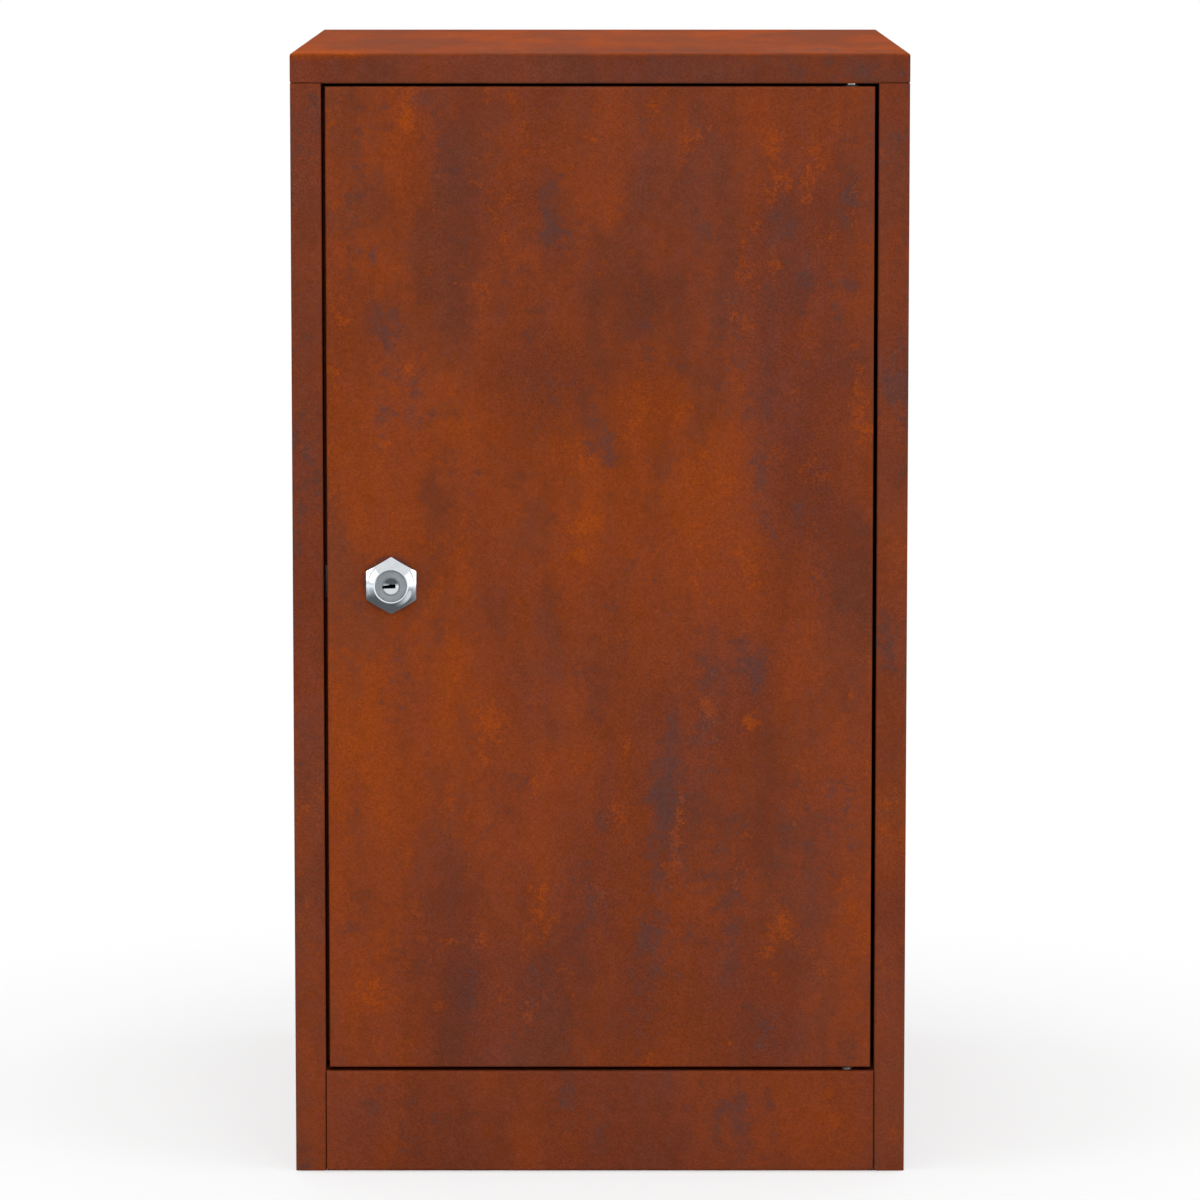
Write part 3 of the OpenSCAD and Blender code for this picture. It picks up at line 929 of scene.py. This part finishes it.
@dataclass
class Lock:
    """The cam lock: collar, body, washer and nut on the door, and the rotor with its cam.

    Its own Z axis is the lock axis and points forwards from the face of the door. Lengths in mm.
    """

    chrome: Finish
    core: Finish
    nickel: Finish
    zinc: Finish
    hex_flat: float = 15.5
    hex_round: float = 17.75
    chamfer: Pair = (14.3, 4.3)
    chamfer_slope: float = 0.565
    head_r: float = 9.5
    head_z: Pair = (4.0, 8.0)
    barrel_r: float = 8.0
    barrel_flat: float = 7.0
    barrel_back: float = -22.2
    pitch: float = 1.0
    thread_depth: float = 0.45
    bore_gap: float = 0.06
    plug_r: float = 5.5
    plug_face: float = 7.7
    dish: Pair = (4.9, 1.0)
    keyway: tuple[Pair, ...] = (
        (-5.2, -1.35), (2.5, -1.2), (2.75, -0.9), (2.75, 1.2), (-0.9, 1.2), (-1.2, 0.75), (-5.2, 0.45),
    )
    keyway_depth: float = 8.0
    nut_flat: float = 11.0
    nut_face_r: float = 11.1
    nut_z: Pair = (-6.2, -2.2)
    washer_r: float = 12.5
    washer_z: Pair = (-2.2, -1.2)
    cam_z: Pair = (-24.4, -22.4)
    cam_half_w: float = 9.0
    cam_l: float = 40.0
    cam_corner_r: float = 3.0
    tenon: float = 3.5
    spring_r: Pair = (2.7, 6.0)
    spring_t: float = 1.0
    spring_gap_deg: float = 6.0
    screw_head: Pair = (4.5, 3.0)
    screw_shank: Pair = (2.5, 9.6)
    screw_socket: float = 1.5

    def __post_init__(self) -> None:
        """Finds the lock axis where it meets the face of the door."""
        self.origin = middle("lock_barrel")
        self.origin.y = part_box("door_panel")[0][1]

    def place(self, rings: np.ndarray) -> np.ndarray:
        """Puts rings made along the lock axis into the frame."""
        return Way.FRONT.place(rings, self.origin)

    def collar(self) -> None:
        """Makes the hexagonal bezel.

        At each angle the wall stands on the hexagon and rises to where the chamfer cone meets it.
        From there every ring is round: down the chamfer, up the inner cone and into the bore.
        """
        angle = around(360)
        wall = np.minimum(polygon_radius(angle, 6, self.hex_flat), self.hex_round)
        cone_r, cone_z = self.chamfer
        meet = cone_z - (wall - cone_r) * self.chamfer_slope
        rows = [(wall - 0.15, 0.0), (wall, 0.15), (wall, meet - 0.12), (wall - 0.1, meet + 0.04)]
        for part in (0.35, 0.7, 0.97):
            radius = wall + (cone_r - wall) * part
            rows.append((radius, cone_z - (radius - cone_r) * self.chamfer_slope))
        bore, seat = self.barrel_r + self.bore_gap, self.head_z[0]
        rows += [
            (14.0, 4.32), (13.85, 4.4), (12.8, 5.2), (11.8, 5.98), (11.05, 6.56), (10.9, 6.66), (10.75, 6.7),
            (9.8, 6.7), (9.66, 6.64), (9.58, 6.5), (9.58, seat), (bore, seat), (bore, 0.0),
        ]
        rings = self.place(rings_at(rows, angle))
        piece = stack_rings("lock_collar_turned", rings, joined=True, crease_deg=26)
        dress(piece, self.chrome, "door", "chrome", "lock_collar")

    def barrel(self) -> None:
        """Makes the lock body: a round satin face, and behind the door a thread with two flats.

        The thread's radius at (angle, z) is the crest less the depth times a triangle wave of
        z / pitch - angle / 360 degrees, and the flats cut it off at a set distance from the middle.
        Close pairs of rings on the face keep its shading flat up to each edge.
        """
        angle = around(120)
        back, top, bore = self.barrel_back, self.head_z[1], self.plug_r + self.bore_gap
        rows = [
            (bore, back), (bore, top - 0.12), (bore + 0.12, top), (bore + 0.18, top), (8.44, top), (8.5, top),
            (8.6, top - 0.05), (8.7, top), (8.76, top), (9.26, top), (9.3, top), (9.46, top - 0.06),
            (self.head_r, top - 0.2), (self.head_r, self.head_z[0]), (self.barrel_r, self.head_z[0]),
        ]
        flats = self.barrel_flat / np.maximum(np.abs(np.cos(angle)), 1e-6)
        for z in np.arange(0.0, back + 0.4, -self.pitch / 6):
            wave = np.abs(np.mod(z / self.pitch - angle / math.tau, 1.0) * 2 - 1)
            rows.append((np.minimum(self.barrel_r - self.thread_depth * wave, flats), z))
        rows.append((np.minimum(self.barrel_r - 0.6, flats), back))
        rings = self.place(rings_at(rows, angle))
        piece = stack_rings("lock_body_turned", rings, joined=True, crease_deg=40)
        dress(piece, self.nickel, "door", "satin_nickel", "lock_barrel")

    def nut(self) -> None:
        """Makes the thin nut: a hexagon whose corners are chamfered by a cone on both faces."""
        angle = around(180)
        wall = polygon_radius(angle, 6, self.nut_flat, math.pi / 6)
        face = np.minimum(wall, self.nut_face_r)
        (low, high), bore, soft = self.nut_z, self.barrel_r + self.bore_gap, 0.5
        drop = (wall - face) * 0.55 + 0.02
        rows = [
            (bore, low + soft), (bore + soft, low), (face, low), (wall, low + drop),
            (wall, high - drop), (face, high), (bore + soft, high), (bore, high - soft),
        ]
        piece = stack_rings("lock_nut_chamfered", self.place(rings_at(rows, angle)), joined=True)
        dress(piece, self.zinc, "door", "plated_steel", "lock_nut")

    def washer(self) -> None:
        """Makes the flat washer under the nut."""
        angle = around(96)
        rim, bore = (at_angles(np.full(96, r), angle) for r in (self.washer_r, self.barrel_r + 0.1))
        rings = self.place(plate(rim, bore, *self.washer_z, 0.15))
        piece = stack_rings("lock_washer_pressed", rings, joined=True)
        dress(piece, self.zinc, "door", "plated_steel", "lock_washer")

    def plug(self) -> None:
        """Makes the rotor: keyway, dished face, round body and square tail in one closed surface.

        The first rings follow the keyway's outline up from its floor. Then the outline opens into
        the rotor's circle: the point at (angle, t) is t of the way from keyway to circle, and sinks
        by the dish's depth times 1 - (r / dish radius) squared.
        """
        angle = around(360)
        key = outline_radius(angle, list(self.keyway))
        dish_r, dish_d = self.dish
        rows = [(key, self.plug_face - self.keyway_depth)]
        for part in np.linspace(0, 1, 26):
            radius = key + (self.plug_r - 0.15 - key) * part
            sink = dish_d * np.maximum(1 - (radius / dish_r) ** 2, 0)
            if part == 0:
                rows.append((key, self.plug_face - sink - 0.15))
                radius = key + 0.06
            rows.append((radius, self.plug_face - sink))
        body, tail, step = self.plug_r, polygon_radius(angle, 4, self.tenon), self.cam_z[1] + 0.1
        rows += [(body, self.plug_face - 0.15), (body, step), (tail, step), (tail, self.cam_z[0])]
        piece = stack_rings("lock_rotor_dished", self.place(rings_at(rows, angle)), crease_deg=35)
        dress(piece, self.core, "lock_rotor", "chrome", "lock_plug")

    def cam(self) -> None:
        """Makes the cam: a flat bar that hangs down, with a round heel and a square hole."""
        half, soft = self.cam_half_w, self.cam_corner_r
        side, tip = half - soft, soft - self.cam_l
        toe = arc((-side, tip), soft, 180, 270) + arc((side, tip), soft, 270, 360)
        corners = np.array(arc((0, 0), half, 0, 180, 40) + toe)
        edges = zip(corners, np.roll(corners, -1, 0))
        rim = np.concatenate([np.linspace(a, b, 12, endpoint=False) for a, b in edges])
        angle = np.arctan2(rim[:, 1], rim[:, 0])
        hole = at_angles(polygon_radius(angle, 4, self.tenon + 0.05), angle)
        rings = self.place(plate(rim, hole, *self.cam_z, 0.25))
        piece = stack_rings("lock_cam_stamped", rings, joined=True, crease_deg=40)
        dress(piece, self.zinc, "lock_rotor", "plated_steel", "lock_cam")

    def spring_washer(self) -> None:
        """Makes the spring washer: a square wire carried round almost a full turn, cut open at one place."""
        gap = self.spring_gap_deg
        turn = np.radians(np.linspace(gap, 360 - gap, 72))[:, None]
        (inner, outer), soft, high = self.spring_r, 0.15, self.cam_z[0]
        low = high - self.spring_t
        section = np.array([
            (inner, low + soft), (inner + soft, low), (outer - soft, low), (outer, low + soft),
            (outer, high - soft), (outer - soft, high), (inner + soft, high), (inner, high - soft),
        ])
        radius, height = section[None, :, 0], section[None, :, 1]
        rings = np.stack([radius * np.cos(turn), radius * np.sin(turn), height + 0 * turn], axis=-1) * MM
        piece = stack_rings("cam_spring_washer", self.place(rings))
        dress(piece, self.zinc, "lock_rotor", "plated_steel", "cam_washer")

    def screw(self) -> None:
        """Makes the button-head screw: a hexagonal socket that opens into a round dome, and its shank.

        The dome's height at radius r is that of a ball cap over the head's rim.
        """
        angle = around(96)
        socket = polygon_radius(angle, 6, self.screw_socket)
        (head_r, head_h), (shank_r, shank_l) = self.screw_head, self.screw_shank
        rows = [(socket * 0.9, head_h - 1.9), (socket, head_h - 1.7)]
        for part in np.linspace(0.0, 1.0, 10):
            radius = socket + (head_r - socket) * part
            rows.append((radius, cap_height(radius, head_r, head_h)))
        rows += [(shank_r, 0.0), (shank_r, 0.4 - shank_l), (shank_r - 0.4, -shank_l)]
        seat = self.origin.copy()
        seat.y -= (self.cam_z[0] - self.spring_t) * MM
        piece = stack_rings("cam_button_screw", Way.BACK.place(rings_at(rows, angle), seat))
        dress(piece, self.zinc, "lock_rotor", "plated_steel", "cam_screw")

    def build(self) -> None:
        """Builds every piece of the lock."""
        self.collar()
        self.barrel()
        self.washer()
        self.nut()
        self.plug()
        self.cam()
        self.spring_washer()
        self.screw()


@dataclass
class Hinges:
    """The two pivot pins riveted into the carcass and the flanged bushes in the door. Lengths in mm."""

    zinc: Finish
    nylon: Finish
    collar_r: float = 3.2
    spindle_r: float = 2.5
    spindle_l: float = 12.0
    flange_r: float = 5.0
    flange_t: float = 0.8
    bush_r: float = 4.0
    rest_gap: float = 0.1
    sheet_t: float = 1.2

    def pin(self, node: str, way: Way, seat_z: float, gap: float) -> None:
        """Makes one pin: tapered spindle end, spindle, collar, tenon and upset head.

        Args:
            node: the CAD pin that it stands for.
            way: which way its upset head points.
            seat_z: height of the sheet's face that its collar bears on.
            gap: the gap between that face and the door, in mm.
        """
        rest = self.flange_t + self.rest_gap - gap
        end, head = rest - self.spindle_l, self.sheet_t
        spindle, rim, tenon = self.spindle_r, self.collar_r, self.spindle_r - 0.25
        profile = [
            (spindle - 0.6, end), (spindle, end + 0.8), (spindle, rest), (rim - 0.12, rest),
            (rim, rest + 0.12), (rim, -0.1), (rim - 0.1, 0.0), (tenon, 0.0), (tenon, head), (3.9, head),
            (4.0, head + 0.3), (3.4, head + 1.0), (2.2, head + 1.4), (0.8, head + 1.5),
        ]
        origin = middle(node)
        origin.z = seat_z
        piece = stack_rings(node + "_turned", way.place(rings_at(profile, around(64)), origin))
        dress(piece, self.zinc, "carcass", "plated_steel", node)

    def bush(self, node: str, way: Way, seat_z: float) -> None:
        """Makes one bush: a thin flange with a soft rim on a plain sleeve.

        Args:
            node: the CAD bush that it stands for.
            way: which way its flange points.
            seat_z: height of the door's face that its flange bears on.
        """
        bore, sleeve, rim = self.spindle_r + 0.05, self.bush_r, self.flange_r
        top, end = self.flange_t, -self.spindle_l
        profile = [
            (bore + 0.3, top), (rim - 0.2, top), (rim, top - 0.2), (rim, 0.0), (sleeve, 0.0),
            (sleeve, end + 0.5), (sleeve - 0.5, end), (bore + 0.2, end), (bore, end + 0.2), (bore, top - 0.3),
        ]
        origin = middle(node)
        origin.z = seat_z
        rings = way.place(rings_at(profile, around(64)), origin)
        piece = stack_rings(node + "_moulded", rings, joined=True)
        dress(piece, self.nylon, "door", "black_nylon", node)

    def build(self) -> None:
        """Builds both pins and both bushes, from the gaps above and below the door."""
        door_low, door_high = (corner[2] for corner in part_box("door_panel"))
        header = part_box("top_cap")[0][2]
        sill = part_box("floor_plinth")[1][2]
        self.pin("upper_hinge_pin", Way.UP, header, (header - door_high) / MM)
        self.pin("lower_hinge_pin", Way.DOWN, sill, (door_low - sill) / MM)
        self.bush("upper_hinge_bush", Way.UP, door_high)
        self.bush("lower_hinge_bush", Way.DOWN, door_low)


@dataclass
class Rivets:
    """Blind rivets: a domed head with the broken mandrel's hollow in its middle, and a bulged tail.

    Their heads stand on a grid that fills the CAD node's box. Lengths in mm.
    """

    zinc: Finish
    shank_r: float = 1.6
    head_r: float = 3.2
    head_h: float = 1.2
    grip: float = 2.4

    def profile(self) -> Profile:
        """Works out the rivet's section from the mandrel's end, over the dome and down to the tail.

        Returns:
            Radius and height of each ring.
        """
        top, tail = self.head_h, -self.grip
        dome = [(r, cap_height(r, self.head_r, top)) for r in (1.15, 1.6, 2.1, 2.6, 3.0)]
        return [
            (0.3, top - 0.62), (0.85, top - 0.6), (0.95, top - 0.15), *dome, (self.head_r, 0.06),
            (self.head_r, 0.0), (self.shank_r, 0.0), (self.shank_r, tail), (2.5, tail - 0.1),
            (2.6, tail - 0.5), (2.2, tail - 0.9), (0.5, tail - 1.0),
        ]

    def group(self, node: str, way: Way, across: int, along: int) -> None:
        """Makes one group of rivets as one piece.

        Args:
            node: the CAD group that it stands for.
            way: which way the heads point.
            across: how many stand along X.
            along: how many stand along the other side of the grid.
        """
        low, high = (np.array(corner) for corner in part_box(node))
        rim, dome = self.head_r * MM, self.head_h * MM
        other = 1 if way in (Way.UP, Way.DOWN) else 2
        depth = 3 - other
        x = np.linspace(low[0] + rim, high[0] - rim, across)
        rest = [(low + high)[other] / 2]
        if along > 1:
            rest = np.linspace(low[other] + rim, high[other] - rim, along)
        seat = high[depth] - dome if way in (Way.UP, Way.BACK) else low[depth] + dome
        spots = np.full((across * along, 3), seat)
        grid_x, grid_rest = np.meshgrid(x, rest)
        spots[:, 0], spots[:, other] = grid_x.ravel(), grid_rest.ravel()
        single = way.place(rings_at(self.profile(), around(32)), Vector())
        piece = stack_rings(node + "_set", single[None] + spots[:, None, None])
        dress(piece, self.zinc, "carcass", "plated_steel", node)

    def build(self) -> None:
        """Builds the three groups."""
        self.group("back_rivets", Way.BACK, 2, 4)
        self.group("cap_rivets", Way.DOWN, 2, 3)
        self.group("floor_rivets", Way.BACK, 3, 1)


@dataclass
class DoorStop:
    """What sits on the left jamb's stop: the strike clip and the rubber buffers. Lengths in mm."""

    zinc: Finish
    rubber: Finish
    clip_t: float = 0.8
    clip_edge: float = 0.12
    bend_r: float = 0.6
    back_leg: float = 2.5
    bumper_r: float = 4.0
    bumper_t: float = 1.7
    stem_r: float = 2.0
    sheet_t: float = 1.2

    def strike(self) -> None:
        """Makes the strike clip: a U-shaped path in plan, carried up by its height and given thickness."""
        low, high = (np.array(corner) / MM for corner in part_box("strike_plate"))
        half, bend = self.clip_t / 2, self.bend_r
        front, back, turn_x = low[1] + half, high[1] - half, high[0] - half - bend
        path = [(low[0], front)]
        path += arc((turn_x, front + bend), bend, -90, 0)
        path += arc((turn_x, back - bend), bend, 0, 90)
        path += [(low[0] + self.back_leg, back)]
        rise = np.linspace(low[2], high[2], 9)
        points = np.concatenate([np.column_stack([path, np.full(len(path), z)]) for z in rise]) * MM
        grid = np.arange(len(points)).reshape(len(rise), len(path))
        faces = np.stack([grid[:-1, :-1], grid[:-1, 1:], grid[1:, 1:], grid[1:, :-1]], axis=-1).reshape(-1, 4)
        mesh = bpy.data.meshes.new("strike_clip")
        mesh.from_pydata(points.tolist(), [], faces.tolist())
        mesh.shade_smooth()
        piece = bpy.data.objects.new("strike_clip", mesh)
        bpy.context.scene.collection.objects.link(piece)
        wall = piece.modifiers.new("sheet", "SOLIDIFY")
        wall.thickness = self.clip_t * MM
        wall.offset = 0.0
        edge = piece.modifiers.new("edge", "BEVEL")
        edge.width = self.clip_edge * MM
        edge.segments = 2
        edge.limit_method = "ANGLE"
        dress(piece, self.zinc, "carcass", "plated_steel", "strike_plate")

    def bumpers(self) -> None:
        """Makes both buffers: a domed pad, a stem through the stop and a bulb that holds it."""
        low, high = (np.array(corner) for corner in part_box("door_bumpers"))
        pad, rim, stem, neck = self.bumper_t, self.bumper_r, self.stem_r, -self.sheet_t
        profile = [
            (0.6, pad), (2.4, pad - 0.05), (3.4, pad - 0.3), (3.9, pad - 0.8), (rim, 0.3), (rim - 0.15, 0.0),
            (stem, 0.0), (stem, neck), (stem + 0.6, neck - 0.1), (stem + 0.65, neck - 0.35),
            (stem, neck - 0.8), (0.8, neck - 1.15),
        ]
        x = (low[0] + high[0]) / 2
        spots = np.array([(x, low[1] + pad * MM, z) for z in (low[2] + rim * MM, high[2] - rim * MM)])
        single = Way.FRONT.place(rings_at(profile, around(40)), Vector())
        piece = stack_rings("door_buffers", single[None] + spots[:, None, None])
        dress(piece, self.rubber, "carcass", "black_rubber", "door_bumpers")

    def build(self) -> None:
        """Builds the strike and the buffers."""
        self.strike()
        self.bumpers()


# ---- Studio ----


@dataclass(frozen=True)
class Lamp:
    """A square soft box that faces the middle of the cabinet.

    Attributes:
        name: its name.
        place: where it stands.
        size: length of its side.
        radiance: how bright its face looks, where 1 is white.
        mirrored: True if polished metal shows it.
    """

    name: str
    place: Triple
    size: float
    radiance: float
    mirrored: bool
    aim: Triple = (0.0, 0.0, 0.35)

    def build(self) -> None:
        """Builds the lamp. Its power is its radiance times pi times its area."""
        data = bpy.data.lights.new(self.name, "AREA")
        data.shape = "SQUARE"
        data.size = self.size
        data.energy = self.radiance * math.pi * self.size**2
        lamp = bpy.data.objects.new(self.name, data)
        lamp.location = self.place
        lamp.rotation_euler = (Vector(self.aim) - Vector(self.place)).to_track_quat("-Z", "Y").to_euler()
        lamp.visible_glossy = self.mirrored
        bpy.context.scene.collection.objects.link(lamp)


@dataclass(frozen=True)
class StudioFloor:
    """A pale matt disc that keeps the shadow and fades into the white surround. Lengths in metres."""

    ring_r: tuple[float, ...] = (0.02, 0.5, 1.0, 2.0, 6.0)
    columns: int = 96
    colour: str = "#e6e6e6"
    fade: Pair = (0.3, 0.75)
    near_share: float = 0.65
    bare_share: float = 0.97
    # Polished metal sees a dim floor before the cabinet, paler far off and on the right.
    wide_r: Pair = (0.9, 2.6)
    wide_light: Pair = (0.35, 1.3)
    dark: Stain = Stain((-0.22, -0.62, 0.0), (0.7, 0.9, 1.0), full=0.55)
    dark_light: float = 0.14
    pale: Stain = Stain((0.75, -0.25, 0.0), (0.85, 0.32, 1.0), full=0.6)
    pale_light: float = 0.95
    mirror_tint: tuple[float, float, float, float] = (0.93, 0.97, 1.0, 1.0)

    def build(self) -> None:
        """Builds the disc: rings round a middle point."""
        angle = around(self.columns)
        flat = np.zeros(self.columns)
        rings = [np.column_stack([at_angles(r + flat, angle), flat]) for r in self.ring_r]
        points = np.concatenate([*rings, np.zeros((1, 3))])
        grid = np.arange(len(points) - 1).reshape(-1, self.columns)
        after = np.roll(grid, -1, axis=1)
        quads = np.stack([grid[:-1], grid[1:], after[1:], after[:-1]], axis=-1).reshape(-1, 4).tolist()
        fan = np.stack([grid[0], after[0], np.full(self.columns, len(points) - 1)], axis=-1).tolist()
        mesh = bpy.data.meshes.new("studio_floor")
        mesh.from_pydata(points.tolist(), [], quads + fan)
        floor = bpy.data.objects.new("studio_floor", mesh)
        bpy.context.scene.collection.objects.link(floor)
        mesh.materials.append(self.material())

    def outside(self, tree: Tree, place: Socket) -> Socket:
        """Gives 0 under the cabinet, so that no light shows through the plinth's seams, and 1 round it.

        Args:
            tree: the material's tree.
            place: Object coordinates.

        Returns:
            The mask.
        """
        half_x, half_y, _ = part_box("top_cap")[1]
        narrow = (1 / half_x, 1 / half_y, 0.0)
        inside = add(tree, "VectorMath", {0: place, 1: narrow}, operation="MULTIPLY").outputs[0]
        either = add(tree, "VectorMath", {0: inside}, operation="ABSOLUTE").outputs[0]
        sides = add(tree, "SeparateXYZ", {0: either}).outputs
        reach = add(tree, "Math", {0: sides[0], 1: sides[1]}, operation="MAXIMUM").outputs[0]
        edge = {"Value": reach, "From Min": self.bare_share, "From Max": 1.0}
        return add(tree, "MapRange", edge).outputs[0]

    def mirrored_light(self, tree: Tree, place: Socket, far: Socket) -> Socket:
        """Works out how bright polished metal sees the floor.

        Args:
            tree: the material's tree.
            place: Object coordinates.
            far: distance from the cabinet's middle.

        Returns:
            The strength.
        """
        span = dict(zip(("From Min", "From Max", "To Min", "To Max"), (*self.wide_r, *self.wide_light)))
        light = add(tree, "MapRange", {"Value": far, **span}).outputs[0]
        for stain, level in ((self.dark, self.dark_light), (self.pale, self.pale_light)):
            near = stain.nearness(tree, place)
            light = add(tree, "MapRange", {"Value": near, "To Min": light, "To Max": level}).outputs[0]
        return light

    def material(self) -> Finish:
        """Builds the finish: matt near the cabinet, plain white further off.

        Returns:
            The material.
        """
        material = bpy.data.materials.new("pale_matt_floor")
        material.use_nodes = True
        tree = material.node_tree
        tree.nodes.clear()
        place = add(tree, "TexCoord").outputs["Object"]
        far = add(tree, "VectorMath", {0: place}, operation="LENGTH").outputs["Value"]
        near, out = self.fade
        rise = {"Value": far, "From Min": near, "From Max": out, "To Min": self.near_share}
        share = add(tree, "MapRange", rise, interpolation_type="SMOOTHSTEP").outputs[0]
        for mask in (self.outside(tree, place), seen_ray(tree)):
            share = add(tree, "Math", {0: share, 1: mask}, operation="MULTIPLY").outputs[0]
        matt = add(tree, "BsdfDiffuse", {"Color": linear(self.colour)}).outputs[0]
        white = add(tree, "Emission", {"Color": (1.0, 1.0, 1.0, 1.0), "Strength": 1.0}).outputs[0]
        plain = add(tree, "MixShader", {0: share, 1: matt, 2: white}).outputs[0]
        light = self.mirrored_light(tree, place, far)
        mirrored = add(tree, "Emission", {"Color": self.mirror_tint, "Strength": light}).outputs[0]
        glossy = add(tree, "LightPath").outputs["Is Glossy Ray"]
        mix = add(tree, "MixShader", {0: glossy, 1: plain, 2: mirrored})
        add(tree, "OutputMaterial", {"Surface": mix.outputs[0]})
        return material


def seen_ray(tree: Tree) -> Socket:
    """Works out which rays show things: 1 on camera, glossy and transmission rays, 0 on the rest.

    Args:
        tree: the tree that gets the nodes.

    Returns:
        The mask.
    """
    path = add(tree, "LightPath").outputs
    pair = {0: path["Is Camera Ray"], 1: path["Is Glossy Ray"]}
    either = add(tree, "Math", pair, operation="MAXIMUM").outputs[0]
    return add(tree, "Math", {0: either, 1: path["Is Transmission Ray"]}, operation="MAXIMUM").outputs[0]


@dataclass
class Studio:
    """A white floor and background, soft lamps and the camera.

    The camera stands in front of the middle, a little above the lid, and looks slightly down.
    """

    distance: float = 3.696
    height: float = 0.8302
    pitch_deg: float = 6.684
    lens: float = 180.74
    shift: float = -0.05
    ambient: float = 0.42
    lamps: tuple[Lamp, ...] = (
        Lamp("overhead_soft_box", (0.0, -0.2, 2.6), 1.8, 4.7, False),
        Lamp("front_soft_box", (0.3, -3.4, 2.6), 2.0, 2.4, False),
        Lamp("left_soft_box", (-2.6, -1.1, 1.3), 1.6, 2.0, True),
        Lamp("right_soft_box", (2.6, -1.3, 1.0), 1.8, 2.0, True),
        Lamp("rear_soft_box", (-0.4, 3.4, 2.2), 2.0, 1.6, False),
    )

    def camera(self) -> None:
        """Makes the camera, at its distance in front of the stiles."""
        data = bpy.data.cameras.new("camera")
        data.sensor_width = 36.0
        data.lens = self.lens
        data.shift_y = self.shift
        data.clip_end = 50.0
        camera = bpy.data.objects.new("camera", data)
        camera.location = (0.0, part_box("door_panel")[0][1] - self.distance, self.height)
        camera.rotation_euler = (math.radians(90 - self.pitch_deg), 0.0, 0.0)
        bpy.context.scene.collection.objects.link(camera)
        bpy.context.scene.camera = camera

    def world(self) -> None:
        """Makes a plain white surround that lights the object less than it shows."""
        world = bpy.data.worlds.new("white_surround")
        world.use_nodes = True
        bpy.context.scene.world = world
        tree = world.node_tree
        tree.nodes.clear()
        span = {"Value": seen_ray(tree), "To Min": self.ambient, "To Max": 1.0}
        strength = add(tree, "MapRange", span).outputs[0]
        back = add(tree, "Background", {"Color": (1.0, 1.0, 1.0, 1.0), "Strength": strength})
        add(tree, "OutputWorld", {"Surface": back.outputs[0]})

    def build(self) -> None:
        """Builds the whole studio."""
        bpy.context.scene.view_settings.view_transform = "Standard"
        self.camera()
        self.world()
        StudioFloor().build()
        for lamp in self.lamps:
            lamp.build()
        log.info("studio ready")


def worn_core(axis: Vector) -> PlatedMetal:
    """Describes the rotor's chrome, painted near-black in the keyway as shade and dulled by keys on its face.

    Args:
        axis: a point on the lock axis.

    Returns:
        The finish.
    """
    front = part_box("lock_plug")[0][1]
    # Painted shade: near-black and rougher from about a millimetre behind the plug's front.
    keyway_shade = Stain((axis.x, front + 5.7 * MM, axis.z), (0.2, 4.6 * MM, 0.2), full=0.88)
    worn = Stain((axis.x, front, axis.z), (0.2, 0.12 * MM, 0.2), full=0.3)
    patches = ((keyway_shade, "#0e0d0c", 0.6), (worn, "#96999b", 0.3))
    return PlatedMetal("bright_chrome_core", "#d6dadd", "#c9ced2", (0.08, 0.16), patches=patches)


def main() -> None:
    """Builds the studio, then each sub-assembly."""
    logging.basicConfig(level=logging.INFO, format="%(name)s: %(message)s")
    Studio().build()
    axis = middle("lock_barrel")
    chrome = PlatedMetal("bright_chrome_plate", "#dcdfe2", "#cfd3d7", (0.05, 0.12))
    nickel = PlatedMetal("satin_nickel_plate", "#9c9fa2", "#919598", (0.26, 0.34), ring_centre=tuple(axis))
    zinc = PlatedMetal("zinc_plate_dulled", "#b7b6ae", "#8f8c84", (0.28, 0.5)).material()
    bright_zinc = PlatedMetal("zinc_plate_bright", "#e2e3e0", "#cfcfca", (0.3, 0.4))
    nylon = MouldedPolymer("black_moulded_nylon", "#1c1c1d", "#2b2b2c", 0.45)
    rubber = MouldedPolymer("black_moulded_rubber", "#141414", "#242423", 0.8)
    Sheets().build()
    Lock(chrome.material(), worn_core(axis).material(), nickel.material(), zinc).build()
    Hinges(zinc, nylon.material()).build()
    Rivets(zinc).build()
    DoorStop(bright_zinc.material(), rubber.material()).build()


if __name__ == "__main__":
    main()
